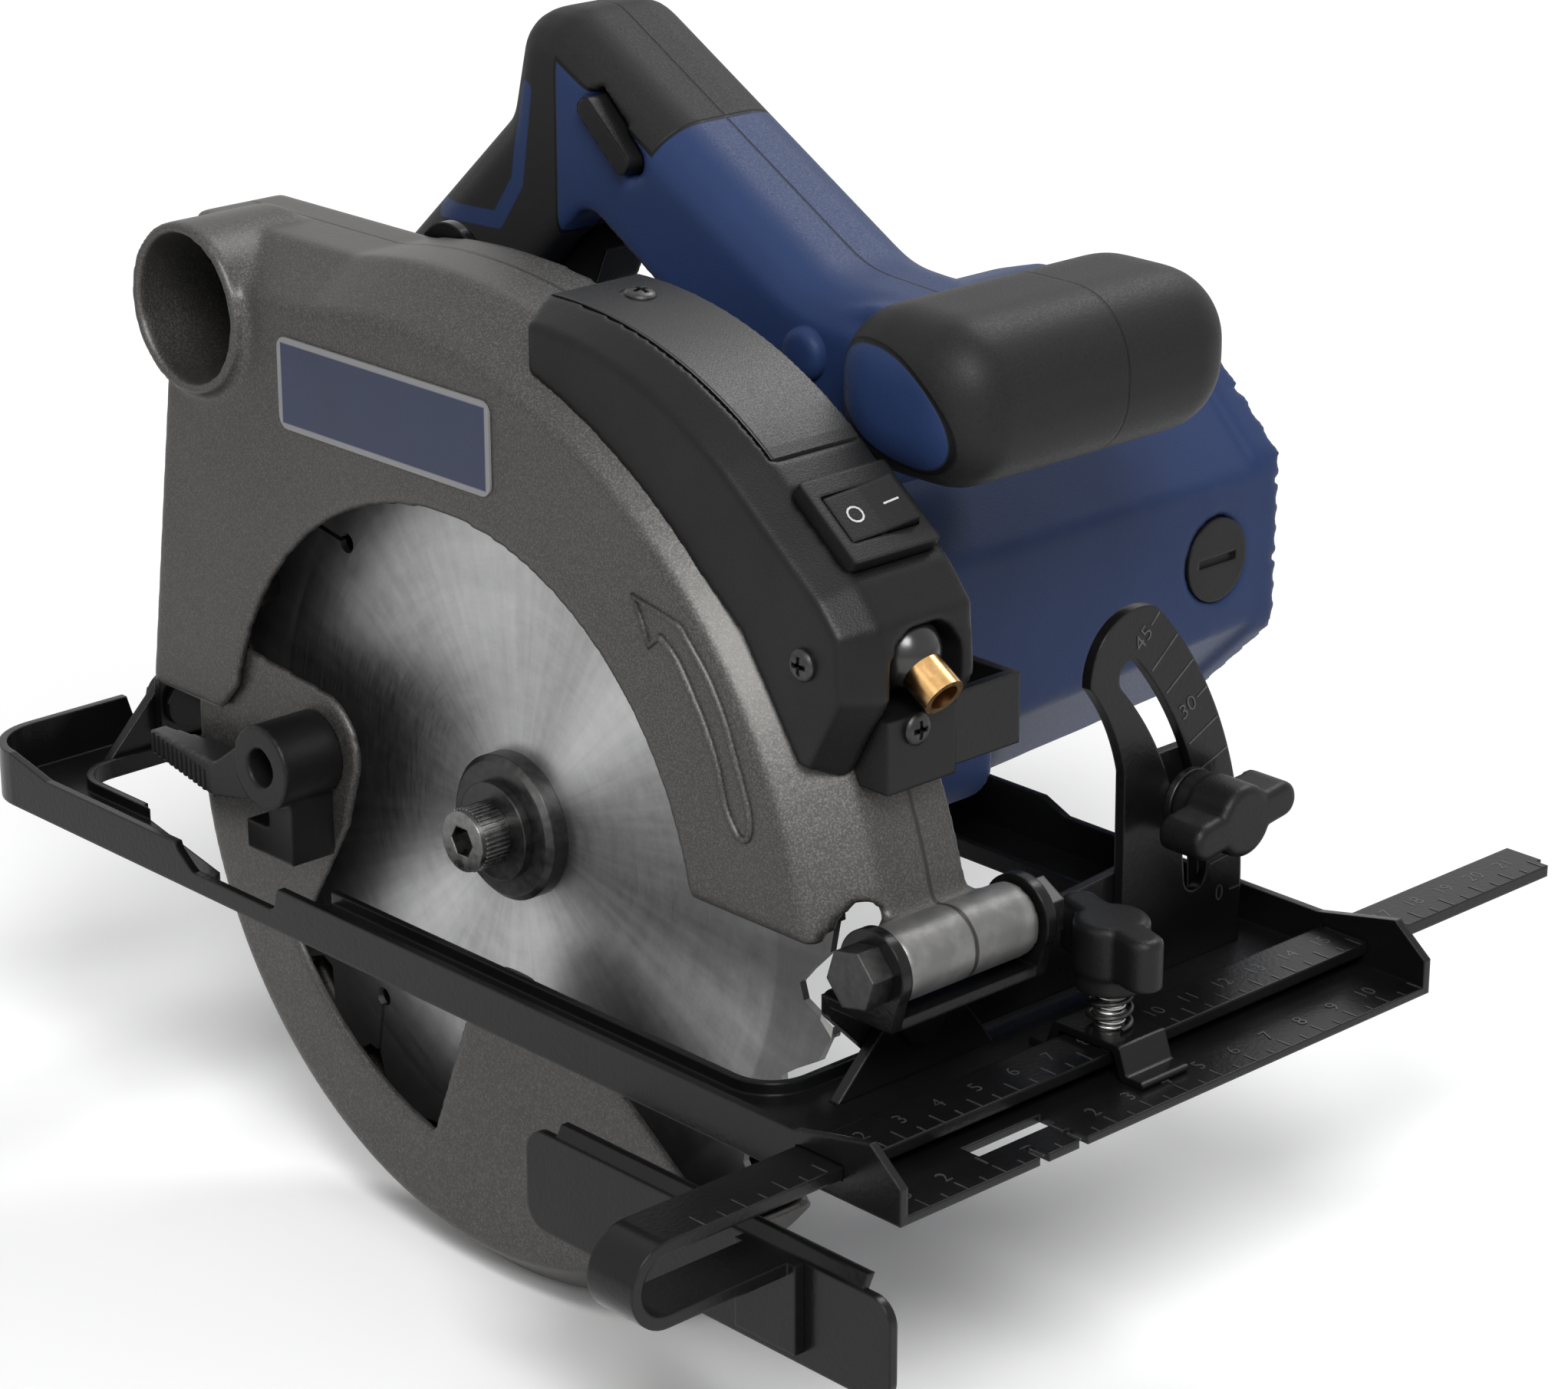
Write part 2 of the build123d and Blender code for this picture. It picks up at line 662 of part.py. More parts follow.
def make_depth_rail():
    """Curved rail about the depth hinge, on a foot that turns on the rear pivot."""
    high = RAIL_LOW_DEG - DEPTH_DEG
    inner = RAIL_R - RAIL_W / 2
    outer = RAIL_R + RAIL_W / 2
    slack = degrees(RAIL_W / 2 / RAIL_R)
    edges = [
        ThreePointArc(
            about_hinge(inner, RAIL_LOW_DEG + slack),
            about_hinge(inner, RAIL_LOW_DEG - DEPTH_DEG / 2),
            about_hinge(inner, high),
        ),
        ThreePointArc(about_hinge(inner, high), about_hinge(RAIL_R, high - slack), about_hinge(outer, high)),
        ThreePointArc(
            about_hinge(outer, high),
            about_hinge(outer, RAIL_LOW_DEG - DEPTH_DEG / 2),
            about_hinge(outer, RAIL_LOW_DEG + slack),
        ),
        Line(about_hinge(outer, RAIL_LOW_DEG + slack), about_hinge(inner, RAIL_LOW_DEG + slack)),
    ]
    rail = make_face(edges)
    foot_z0 = PIVOT_Z - 6.5
    foot_z1 = PIVOT_Z + 6.5
    rail += polygon(
        (REAR_FOOT_X, foot_z0),
        (about_hinge(outer, 180)[0] + 2.0, foot_z0 + 8.0),
        about_hinge(inner, RAIL_LOW_DEG + slack),
        about_hinge(outer, RAIL_LOW_DEG - 4.0),
        (REAR_FOOT_X, foot_z1),
    )
    slot_w = 2 * (DEPTH_STUD_R + SLIDE_GAP)
    rail -= arc_slot(RAIL_R, (HINGE_X, HINGE_Z), high, RAIL_LOW_DEG, slot_w)
    body = xz_plate(rail, RAIL_Y, RAIL_Y + PLATE_T)
    foot = block(REAR_FOOT_X, REAR_FOOT_X + PLATE_T, PIVOT_Y - 6.5, RAIL_Y + PLATE_T, foot_z0, foot_z1)
    hole = x_rod(PIVOT_R + RUN_GAP, REAR_FOOT_X - 1, REAR_FOOT_X + PLATE_T + 1, PIVOT_Y, PIVOT_Z)
    return body + foot - hole


STUD_Y, STUD_Z = about_pivot(SLOT_R, STUD_REST_DEG)
KNOB_FRONT_X = QUADRANT_X + PLATE_T


def make_bevel_stud():
    """Stud with its head behind the arm and a washer on the quadrant."""
    head_t = 3.0
    washer_t = 1.6
    stud = x_rod(BEVEL_STUD_R, ARM_X - 0.1, KNOB_FRONT_X + 12, STUD_Y, STUD_Z)
    stud += x_rod(6.5, ARM_X - 0.1 - head_t, ARM_X - 0.1, STUD_Y, STUD_Z)
    stud += x_rod(7.2, KNOB_FRONT_X + 0.1, KNOB_FRONT_X + 0.1 + washer_t, STUD_Y, STUD_Z)
    return stud


def make_bevel_knob():
    start = KNOB_FRONT_X + 0.1 + 1.6 + 0.1
    turn = radians(BEVEL_KNOB_DEG)
    turned = Plane((start, STUD_Y, STUD_Z), x_dir=(0, cos(turn), sin(turn)), z_dir=(1, 0, 0))
    bore = x_rod(BEVEL_STUD_R + RUN_GAP, start - 1, KNOB_FRONT_X + 12.1, STUD_Y, STUD_Z)
    return turned * winged_knob(KNOB_H) - bore


# Guards

def guard_profile(grow=0.0):
    """Top, front and rear line of the upper guard, closed well below the blade."""
    front = (BLADE_R + 17.0 + grow, NOSE_Z)
    crown = (-45.0, GUARD_TOP_Z + grow)
    shoulder = about_arbor(BLADE_R + 12.5 + grow, 52.0)
    rear_top = (-BLADE_R - 3.0 - grow, GUARD_TOP_Z + grow)
    rear_low = (-BLADE_R - 21.0 - grow, 20.0)
    below = -30.0
    edges = [
        ThreePointArc(front, shoulder, crown),
        Line(crown, rear_top),
        Line(rear_top, rear_low),
        Line(rear_low, (rear_low[0], below)),
        Line((rear_low[0], below), (front[0], below)),
        Line((front[0], below), front),
    ]
    return make_face(edges)


def guard_mass(grow, face_y, back_y):
    """Guard outline with its long bevel towards the blade side."""
    taper = degrees(acos(1 / sqrt(1 + (BEVEL_IN / (GUARD_BEVEL_Y - GUARD_FACE_Y)) ** 2)))
    face = guard_profile(grow)
    mass = xz_plate(face, GUARD_BEVEL_Y, back_y)
    return mass + tapered(face, GUARD_BEVEL_Y, GUARD_BEVEL_Y - face_y, taper)


def guard_side():
    """Side outline of the upper guard: rear leg, window over the blade and nose."""
    window_low = degrees(acos(sqrt(1 - ((NOSE_Z - WINDOW_Z) / WINDOW_R) ** 2)))
    window_rear = polar(WINDOW_R, 166.0, WINDOW_X, WINDOW_Z)
    window_front = polar(WINDOW_R, window_low, WINDOW_X, WINDOW_Z)
    leg_x = window_rear[0] - 6.0
    nose_x = HINGE_X - 11.5
    far = 200.0
    edges = [
        Line((-far, far), (-far, LEG_Z)),
        Line((-far, LEG_Z), (leg_x, LEG_Z)),
        Line((leg_x, LEG_Z), window_rear),
        ThreePointArc(window_rear, polar(WINDOW_R, 90.0, WINDOW_X, WINDOW_Z), window_front),
        Line(window_front, (nose_x, NOSE_Z)),
        Line((nose_x, NOSE_Z), (nose_x + 2.0, NOSE_Z + 7.0)),
        Line((nose_x + 2.0, NOSE_Z + 7.0), (far, NOSE_Z + 7.0)),
        Line((far, NOSE_Z + 7.0), (far, far)),
        Line((far, far), (-far, far)),
    ]
    return make_face(edges)


def back_side():
    """Side outline behind the blade: the wall runs on down to the hub and the hinge barrel."""
    far = 200.0
    return polygon(
        (-far, far), (-far, LEG_Z), (-62.0, LEG_Z), (-34.0, 6.0),
        (34.0, 6.0), (64.0, NOSE_Z), (far, NOSE_Z), (far, far),
    )


def hinge_barrel(y0, y1):
    return y_rod(BARREL_R, y0, y1, HINGE_X, HINGE_Z)


def hinge_bore():
    return y_rod(HINGE_BOLT_R + RUN_GAP, BARREL_Y0 - 1, BARREL_Y1 + 1, HINGE_X, HINGE_Z)


def make_upper_guard():
    """Cast outer half: face with window, bevel, half of the crown and the dust port."""
    cavity_face = GUARD_FACE_Y + GUARD_WALL
    shell = guard_mass(0.0, GUARD_FACE_Y, GUARD_SEAM_Y)
    cavity = guard_mass(-GUARD_WALL, cavity_face, GUARD_SEAM_Y + 1)
    port = y_rod(PORT_OUT_R, PORT_FACE_Y, PORT_IN_Y, PORT_X, PORT_Z)
    side = xz_plate(guard_side(), GUARD_FACE_Y - 1, GUARD_BEVEL_Y)
    side += xz_plate(back_side(), GUARD_BEVEL_Y, GUARD_SEAM_Y + 1)
    guard = (shell - cavity) & side
    guard += port
    guard += hinge_barrel(BARREL_Y0, GUARD_SEAM_Y) - block(100, 130, BARREL_Y0 - 1, GUARD_SEAM_Y + 1, 45, 60)
    guard -= y_rod(PORT_R, PORT_FACE_Y - 1, PORT_IN_Y + 1, PORT_X, PORT_Z)
    guard -= y_rod(EAR_R + 1.6, GUARD_FACE_Y - 5, BARREL_Y0 - 0.01, HINGE_X, HINGE_Z)
    return guard - hinge_bore()


def make_guard_back():
    """Cast inner half: wall on the motor side with the bearing boss of the lower guard."""
    seam = GUARD_SEAM_Y
    shell = guard_mass(0.0, GUARD_FACE_Y, GUARD_BACK_Y)
    shell -= guard_mass(-GUARD_WALL, GUARD_FACE_Y, GUARD_BACK_Y - GUARD_WALL)
    shell &= block(-200, 200, seam, GUARD_BACK_Y + 1, -100, 300)
    shell &= xz_plate(back_side(), seam - 1, GUARD_BACK_Y + 1)
    boss_y = LOWER_BACK_Y - LOWER_WALL
    shell += y_rod(HUB_R - RUN_GAP, boss_y, GUARD_BACK_Y)
    shell += hinge_barrel(seam, BARREL_Y1)
    shell -= y_rod(BEARING_R, boss_y + 2, GUARD_BACK_Y + 1)
    shell -= y_rod(SPINDLE_R + 1.5, boss_y - 1, GUARD_BACK_Y)
    shell -= hinge_bore()
    stud_x, stud_z = about_hinge(RAIL_R, RAIL_LOW_DEG)
    return shell - y_rod(DEPTH_STUD_R - 1, GUARD_BACK_Y - 1.5, GUARD_BACK_Y + 1, stud_x, stud_z)


def lower_section(y0, y1, inset):
    """Half section of the lower guard in (radius, y), as a revolved solid about the arbor."""
    r = LOWER_R - inset
    flat = r - LOWER_BEVEL
    bevel_y = LOWER_FACE_Y + LOWER_BEVEL_Y
    return polygon((0, y0), (flat, y0), (r, bevel_y), (r, y1), (0, y1))


def revolve_y(face):
    """Turn a (radius, y) face about the arbor."""
    return Pos(0, 0, ARBOR_Z) * revolve(face, Axis.Y, 360)


def lower_side():
    """Side outline of the lower guard's outer wall, with the cut-out round the flange."""
    far = 140.0
    cut_r = 72.3
    return make_face(
        [
            Line(about_arbor(far, LOWER_FRONT_DEG), about_arbor(64.0, LOWER_FRONT_DEG - 3.5)),
            Line(about_arbor(64.0, LOWER_FRONT_DEG - 3.5), (28.0, -4.5)),
            ThreePointArc((28.0, -4.5), (14.0, -0.6), (2.5, -3.0)),
            Line((2.5, -3.0), about_arbor(cut_r, -101.5)),
            ThreePointArc(about_arbor(cut_r, -101.5), about_arbor(cut_r, -125), about_arbor(cut_r, -146)),
            Line(about_arbor(cut_r, -146), (-41.0, 15.0)),
            Line((-41.0, 15.0), (-37.4, 26.0)),
            ThreePointArc((-37.4, 26.0), (-38.5, 38.0), (-46.0, 43.5)),
            Line((-46.0, 43.5), about_arbor(far, LOWER_REAR_DEG)),
            ThreePointArc(
                about_arbor(far, LOWER_REAR_DEG), about_arbor(far, -115), about_arbor(far, LOWER_FRONT_DEG)
            ),
        ]
    )


def lower_sector():
    far = 140.0
    return make_face(
        [
            Line((0, ARBOR_Z), about_arbor(far, LOWER_REAR_DEG)),
            ThreePointArc(
                about_arbor(far, LOWER_REAR_DEG), about_arbor(far, -115), about_arbor(far, LOWER_FRONT_DEG)
            ),
            Line(about_arbor(far, LOWER_FRONT_DEG), (0, ARBOR_Z)),
        ]
    )


def make_lower_guard():
    shell = revolve_y(lower_section(LOWER_FACE_Y, LOWER_BACK_Y, 0.0))
    shell -= revolve_y(lower_section(LOWER_FACE_Y + LOWER_WALL, LOWER_BACK_Y - LOWER_WALL, LOWER_WALL))
    side = xz_plate(lower_side(), LOWER_FACE_Y - 1, LOWER_FACE_Y + LOWER_WALL)
    side += xz_plate(lower_sector(), LOWER_FACE_Y + LOWER_WALL, LOWER_BACK_Y + 1)
    guard = shell & side
    guard += y_rod(HUB_R + HUB_WALL, LOWER_BACK_Y - LOWER_WALL, LOWER_BACK_Y + 3.6)
    return guard - y_rod(HUB_R, LOWER_BACK_Y - LOWER_WALL - 1, LOWER_BACK_Y + 5)


def make_lever():
    """Black lever on the lower guard: hollow boss, thumb paddle and a hook below."""
    boss = y_rod(LEVER_R, LEVER_FACE_Y, LOWER_FACE_Y, LEVER_X, LEVER_Z)
    paddle = polygon(
        (LEVER_X, LEVER_Z + 5.0),
        (LEVER_X - 9.0, LEVER_Z + 2.5),
        (LEVER_X - 18.0, LEVER_Z - 4.0),
        (LEVER_X - 50.0, LEVER_Z - 7.0),
        (LEVER_X - 50.0, LEVER_Z - 12.0),
        (LEVER_X - 18.0, LEVER_Z - 12.0),
        (LEVER_X, LEVER_Z - 8.0),
    )
    lever = boss + xz_plate(paddle, LEVER_FACE_Y + 1.0, LEVER_IN_Y)
    slant = polygon(
        (LEVER_X - 51.0, LEVER_FACE_Y), (LEVER_X - 51.0, LEVER_FACE_Y + 7.5), (LEVER_X - 14.0, LEVER_FACE_Y)
    )
    lever -= xy_plate(slant, 0, 60)
    lever += block(LEVER_X - 11.0, LEVER_X + 5.0, LEVER_FACE_Y + 4.0, LOWER_FACE_Y, LEVER_Z - 22.0, LEVER_Z - 15.5)
    lever += block(LEVER_X - 3.0, LEVER_X + 5.0, LEVER_FACE_Y + 4.0, LOWER_FACE_Y, LEVER_Z - 16.0, LEVER_Z - 4.0)
    return lever - y_rod(4.2, LEVER_FACE_Y - 1, LEVER_FACE_Y + 10, LEVER_X, LEVER_Z)


def make_guard_spring():
    """Flat return spring wound round the hub, drawn as its outer ring."""
    y0 = LOWER_BACK_Y + 3.6 + GAP
    return y_tube(HUB_R + HUB_WALL, HUB_R + 0.2, y0, GUARD_BACK_Y - GUARD_WALL)


# Blade, flanges, spindle and gears

def tooth_outline():
    points = []
    pitch = 360 / TEETH
    for k in range(TEETH):
        tip = FIRST_TIP_DEG + k * pitch
        points.append(about_arbor(BLADE_R - 0.6, tip))
        points.append(about_arbor(BLADE_R - 3.6, tip + 1.2))
        points.append(about_arbor(GULLET_R + 1.5, tip + 2.2))
        points.append(about_arbor(GULLET_R, tip + 4.4))
        points.append(about_arbor(GULLET_R + 2.6, tip + 6.8))
        points.append(about_arbor(BLADE_R - 2.4, tip + 10.5))
    return polygon(*points)


def make_blade():
    face = tooth_outline() - Pos(0, ARBOR_Z) * Circle(BORE_R)
    hole_r = 2.2
    for k in range(4):
        angle = FIRST_TIP_DEG + 4.4 + 15 * 4 + 90 * k
        inner = about_arbor(GULLET_R - 12.0, angle - 5)
        face -= Pos(*inner) * Circle(hole_r)
        outer = about_arbor(GULLET_R + 1.0, angle)
        slit = Pos((inner[0] + outer[0]) / 2, (inner[1] + outer[1]) / 2)
        run = Vector(outer[0] - inner[0], outer[1] - inner[1])
        tilt = 90 - degrees(acos(run.Y / run.length)) * (1 if run.X > 0 else -1)
        face -= slit * Rot(0, 0, tilt) * Rectangle(run.length, 1.0)
    return xz_plate(face, -BLADE_T / 2, BLADE_T / 2)


def make_tips():
    """Hard-metal tips seated on the front of each tooth."""
    tips = []
    pitch = 360 / TEETH
    for k in range(TEETH):
        tip = FIRST_TIP_DEG + k * pitch
        face = polygon(
            about_arbor(BLADE_R - 0.6, tip),
            about_arbor(BLADE_R, tip - 0.3),
            about_arbor(BLADE_R, tip + 1.3),
            about_arbor(BLADE_R - 3.4, tip + 2.0),
            about_arbor(BLADE_R - 3.6, tip + 1.2),
        )
        tips.append(xz_plate(face, -KERF / 2, KERF / 2))
    return pieces(tips)


def make_inner_flange():
    y1 = BLADE_T / 2 + 4.0
    flange = y_rod(FLANGE_R, BLADE_T / 2, y1) + y_rod(BORE_R - RUN_GAP, -BLADE_T / 2 + 0.1, BLADE_T / 2)
    return flange - y_rod(SPINDLE_R, -2, y1 + 1)


FLANGE_FRONT = -BLADE_T / 2 - FLANGE_T


def make_outer_flange():
    flange = y_rod(FLANGE_R, FLANGE_FRONT, -BLADE_T / 2)
    flange = chamfer(flange.edges().group_by(Axis.Y)[0], 1.2)
    return flange - y_rod(BOLT_R, FLANGE_FRONT - 1, 0)


def make_bolt_washer():
    return y_tube(WASHER_R, BOLT_R, FLANGE_FRONT - WASHER_T, FLANGE_FRONT)


def make_blade_bolt():
    seat = FLANGE_FRONT - WASHER_T
    bolt = y_rod(BOLT_HEAD_R, seat - BOLT_HEAD_L, seat) + y_rod(BOLT_R, seat, seat + BOLT_L)
    socket = xz_plate(Pos(0, ARBOR_Z) * hexagon(6.0), seat - BOLT_HEAD_L - 1, seat - BOLT_HEAD_L + 4.5)
    return bolt - socket


SPINDLE_END_Y = CASE_Y - 2.0


def make_spindle():
    seat = FLANGE_FRONT - WASHER_T
    spindle = y_rod(SPINDLE_R, -BLADE_T / 2 + 0.1, SPINDLE_END_Y)
    return spindle - y_rod(BOLT_R, -10, seat + BOLT_L + 1)


def involute_gear(teeth, shift_deg, cx, cz):
    """Spur gear face: involute flanks in four steps, radial below the base circle."""
    pitch_r = GEAR_MODULE * teeth / 2
    base_r = pitch_r * cos(radians(PRESSURE_DEG))
    tip_r = pitch_r + GEAR_ADDENDUM * GEAR_MODULE
    root_r = pitch_r - GEAR_DEDENDUM * GEAR_MODULE

    def involute(r):
        a = acos(min(1.0, base_r / r))
        return tan(a) - a

    half = pi / (2 * teeth) - GEAR_BACKLASH / (4 * pitch_r) + involute(pitch_r)
    low = max(base_r, root_r)
    radii = [root_r] + [low + (tip_r - low) * k / 4 for k in range(5)]
    points = []
    for k in range(teeth):
        middle = radians(shift_deg) + 2 * pi * k / teeth
        flank = [(r, half - involute(max(r, base_r))) for r in radii]
        for r, a in flank:
            points.append(polar(r, degrees(middle - a), cx, cz))
        for r, a in reversed(flank):
            points.append(polar(r, degrees(middle + a), cx, cz))
    return polygon(*[p for i, p in enumerate(points) if i == 0 or p != points[i - 1]])


GEAR_LINE_DEG = degrees(acos(MOTOR_X / GEAR_CENTRES))


def make_drive_gear():
    face = involute_gear(GEAR_TEETH, GEAR_LINE_DEG, 0, ARBOR_Z) - Pos(0, ARBOR_Z) * Circle(SPINDLE_R)
    return xz_plate(face, GEAR_Y, GEAR_Y + GEAR_W)


PINION_SHIFT = GEAR_LINE_DEG + 180 + 180 / PINION_TEETH
SHAFT_END_Y = MOTOR_Y - 1.0


def make_motor_shaft():
    """Armature shaft with the pinion cut on its end."""
    pinion = xz_plate(involute_gear(PINION_TEETH, PINION_SHIFT, MOTOR_X, MOTOR_Z), GEAR_Y - 1, GEAR_Y + GEAR_W + 1)
    return pinion + y_rod(MOTOR_SHAFT_R, GEAR_Y + GEAR_W, SHAFT_END_Y, MOTOR_X, MOTOR_Z)


def make_core():
    face = Circle(CORE_R)
    slots = 12
    for k in range(slots):
        face -= Rot(0, 0, 360 * k / slots) * Pos(CORE_R - 3, 0) * Rectangle(7, 2.6)
    core = xz_plate(Pos(MOTOR_X, MOTOR_Z) * face, CORE_Y0, CORE_Y1)
    core += y_rod(CORE_R - 7, CORE_Y0 - 9, CORE_Y1 + 9, MOTOR_X, MOTOR_Z)
    return core - y_rod(MOTOR_SHAFT_R, CORE_Y0 - 10, CORE_Y1 + 10, MOTOR_X, MOTOR_Z)


def make_commutator():
    return y_tube(COMMUTATOR_R, MOTOR_SHAFT_R, BRUSH_Y - 9, BRUSH_Y + 5, MOTOR_X, MOTOR_Z)


def make_fan():
    hub = Circle(10)
    blades = 12
    for k in range(blades):
        hub += Rot(0, 0, 360 * k / blades) * Pos(FAN_R / 2 + 4, 0) * Rot(0, 0, 25) * Rectangle(FAN_R - 12, 1.8)
    fan = xz_plate(Pos(MOTOR_X, MOTOR_Z) * (hub & Circle(FAN_R)), FAN_Y0, FAN_Y0 + FAN_T)
    fan += y_rod(FAN_R, FAN_Y0 + FAN_T - 2, FAN_Y0 + FAN_T, MOTOR_X, MOTOR_Z)
    return fan - y_rod(MOTOR_SHAFT_R, FAN_Y0 - 1, FAN_Y0 + FAN_T + 1, MOTOR_X, MOTOR_Z)


# Gear case and motor

FRONT_BEARING_Y = CASE_Y + 4.0
REAR_BEARING_Y = SHAFT_END_Y - BEARING_T


def case_outline(wall):
    circles = Pos(0, ARBOR_Z) * Circle(CASE_R + wall) + Pos(MOTOR_X, MOTOR_Z) * Circle(CASE_MOTOR_R + wall)
    return make_hull(circles.edges())


def make_gear_case():
    """Case over the gears, with the seats of the spindle's rear and armature's front bearings."""
    case = xz_plate(case_outline(CASE_WALL), GUARD_BACK_Y, CASE_Y)
    cavity = xz_plate(case_outline(0.0), GUARD_BACK_Y - 1, SPINDLE_END_Y - BEARING_T)
    rear_seat = y_rod(BEARING_R, SPINDLE_END_Y - BEARING_T - 1, SPINDLE_END_Y)
    shaft = y_rod(MOTOR_SHAFT_R + 1.5, GUARD_BACK_Y, CASE_Y + 1, MOTOR_X, MOTOR_Z)
    return case - cavity - rear_seat - shaft


def motor_face(half, facet, corner):
    face = polygon(
        (half, -facet), (half, facet), (facet, half), (-facet, half),
        (-half, facet), (-half, -facet), (-facet, -half), (facet, -half),
    )
    return Pos(MOTOR_X, MOTOR_Z) * fillet(face.vertices(), corner)


def motor_mass(half, facet, y0, y1):
    body = tapered(motor_face(half, facet, 6.0), 0.0, y1 - y0, MOTOR_TAPER_DEG)
    return Pos(0, y0, 0) * mirror(body, Plane.XZ)


def make_motor_housing():
    housing = motor_mass(MOTOR_HALF, MOTOR_FACET, CASE_Y, MOTOR_Y)
    housing += y_rod(LUG_R, CASE_Y + 6, CASE_Y + 36, MOTOR_X + LUG_OUT, MOTOR_Z - LUG_DOWN)
    housing -= y_rod(STATOR_R + 1.0, CASE_Y + 14, MOTOR_Y - 14, MOTOR_X, MOTOR_Z)
    housing -= y_rod(BEARING_R, FRONT_BEARING_Y, CASE_Y + 15, MOTOR_X, MOTOR_Z)
    housing -= y_rod(BEARING_R, MOTOR_Y - 15, MOTOR_Y + 1, MOTOR_X, MOTOR_Z)
    housing -= y_rod(MOTOR_SHAFT_R + 1.5, CASE_Y - 1, MOTOR_Y, MOTOR_X, MOTOR_Z)
    housing -= brush_bore(BRUSH_CAP_R)
    return housing


def brush_bore(r):
    return x_rod(r, MOTOR_X - 80, MOTOR_X + 80, BRUSH_Y, MOTOR_Z)


CAP_OUT = MOTOR_HALF - tan(radians(MOTOR_TAPER_DEG)) * (BRUSH_Y - CASE_Y)
CAP_T = 4.0


def make_brush_caps():
    caps = []
    for side in (-1, 1):
        out = MOTOR_X + side * (CAP_OUT + 0.6)
        inner = MOTOR_X + side * (CAP_OUT + 0.6 - CAP_T)
        cap = x_rod(BRUSH_CAP_R, min(out, inner), max(out, inner), BRUSH_Y, MOTOR_Z)
        cap -= block(min(out, out - side), max(out, out - side), BRUSH_Y - 6, BRUSH_Y + 6, MOTOR_Z - 1, MOTOR_Z + 1)
        caps.append(cap)
    return pieces(caps)


def make_brush_holders():
    holders = []
    for side in (-1, 1):
        inner = MOTOR_X + side * (COMMUTATOR_R + 2.0)
        out = MOTOR_X + side * (CAP_OUT + 0.6 - CAP_T)
        holder = x_rod(BRUSH_CAP_R, min(out, inner), max(out, inner), BRUSH_Y, MOTOR_Z)
        holder -= block(MOTOR_X - 60, MOTOR_X + 60, BRUSH_Y - 3.2, BRUSH_Y + 3.2, MOTOR_Z - 4.7, MOTOR_Z + 4.7)
        holders.append(holder)
    return pieces(holders)


def make_brushes():
    brushes = []
    for side in (-1, 1):
        inner = MOTOR_X + side * (COMMUTATOR_R + RUN_GAP)
        out = inner + side * 14.0
        brushes.append(
            block(min(out, inner), max(out, inner), BRUSH_Y - 3.2, BRUSH_Y + 3.2, MOTOR_Z - 4.7, MOTOR_Z + 4.7)
        )
    return pieces(brushes)


def make_stator():
    ring = y_tube(STATOR_R + 1.0, CORE_R + 0.8, CORE_Y0, CORE_Y1, MOTOR_X, MOTOR_Z)
    for side in (-1, 1):
        ring -= block(
            MOTOR_X + side * 26 - 6, MOTOR_X + side * 26 + 6, CORE_Y0 - 1, CORE_Y1 + 1, MOTOR_Z - 9, MOTOR_Z + 9
        )
    return ring


def make_bearings():
    boss_y = LOWER_BACK_Y - LOWER_WALL
    return pieces(
        [
            y_tube(BEARING_R, SPINDLE_R + RUN_GAP, boss_y + 2, boss_y + 2 + BEARING_T),
            y_tube(BEARING_R, SPINDLE_R + RUN_GAP, SPINDLE_END_Y - BEARING_T, SPINDLE_END_Y),
            y_tube(
                BEARING_R, MOTOR_SHAFT_R + RUN_GAP, FRONT_BEARING_Y, FRONT_BEARING_Y + BEARING_T, MOTOR_X, MOTOR_Z
            ),
            y_tube(BEARING_R, MOTOR_SHAFT_R + RUN_GAP, REAR_BEARING_Y, SHAFT_END_Y, MOTOR_X, MOTOR_Z),
        ]
    )


def make_end_cap():
    """Ribbed end plate of the motor."""
    half = MOTOR_HALF - tan(radians(MOTOR_TAPER_DEG)) * (MOTOR_Y - CASE_Y)
    back = MOTOR_Y + END_T
    cap = xz_plate(motor_face(half, MOTOR_FACET, 6.0), MOTOR_Y, back)
    pitch = 2 * half / (RIB_COUNT + 1)
    for k in range(RIB_COUNT):
        z = MOTOR_Z - half + pitch * (k + 1)
        cap -= block(MOTOR_X - half - 1, MOTOR_X + half + 1, back - RIB_DEEP, back + 1, z - pitch / 4, z + pitch / 4)
    return cap


# Handle

def on_handle(x, up):
    """Point of the handle, measured up from the floor of its hand hole."""
    return (x, HANDLE_Z + up)


def handle_outer():
    """Side outline of the handle: apex, sloping front leg, foot and rear leg."""
    corners = [
        (on_handle(-46.5, 77.0), 9.0),
        (on_handle(-33.0, 78.0), 9.0),
        (on_handle(42.0, 35.5), 25.0),
        (on_handle(66.0, 34.0), 0.0),
        (on_handle(66.0, 4.0), 0.0),
        (on_handle(40.0, -11.0), 0.0),
        (on_handle(-22.0, -11.0), 0.0),
        (on_handle(-72.0, -22.0), 10.0),
        (on_handle(-98.0, -12.0), 14.0),
        (on_handle(-94.0, 17.0), 10.0),
        (on_handle(-52.0, 55.0), 8.0),
    ]
    face = polygon(*[point for point, _ in corners])
    for point, radius in corners:
        if radius:
            face = fillet(face.vertices().sort_by_distance(point)[0], radius)
    return face


def handle_window():
    return rounded(7.0, on_handle(-24.0, 40.0), on_handle(30.0, 8.0), on_handle(10.0, 0.0), on_handle(-66.0, 0.0))


REAR_LEG_IN = (0.72, -0.69)


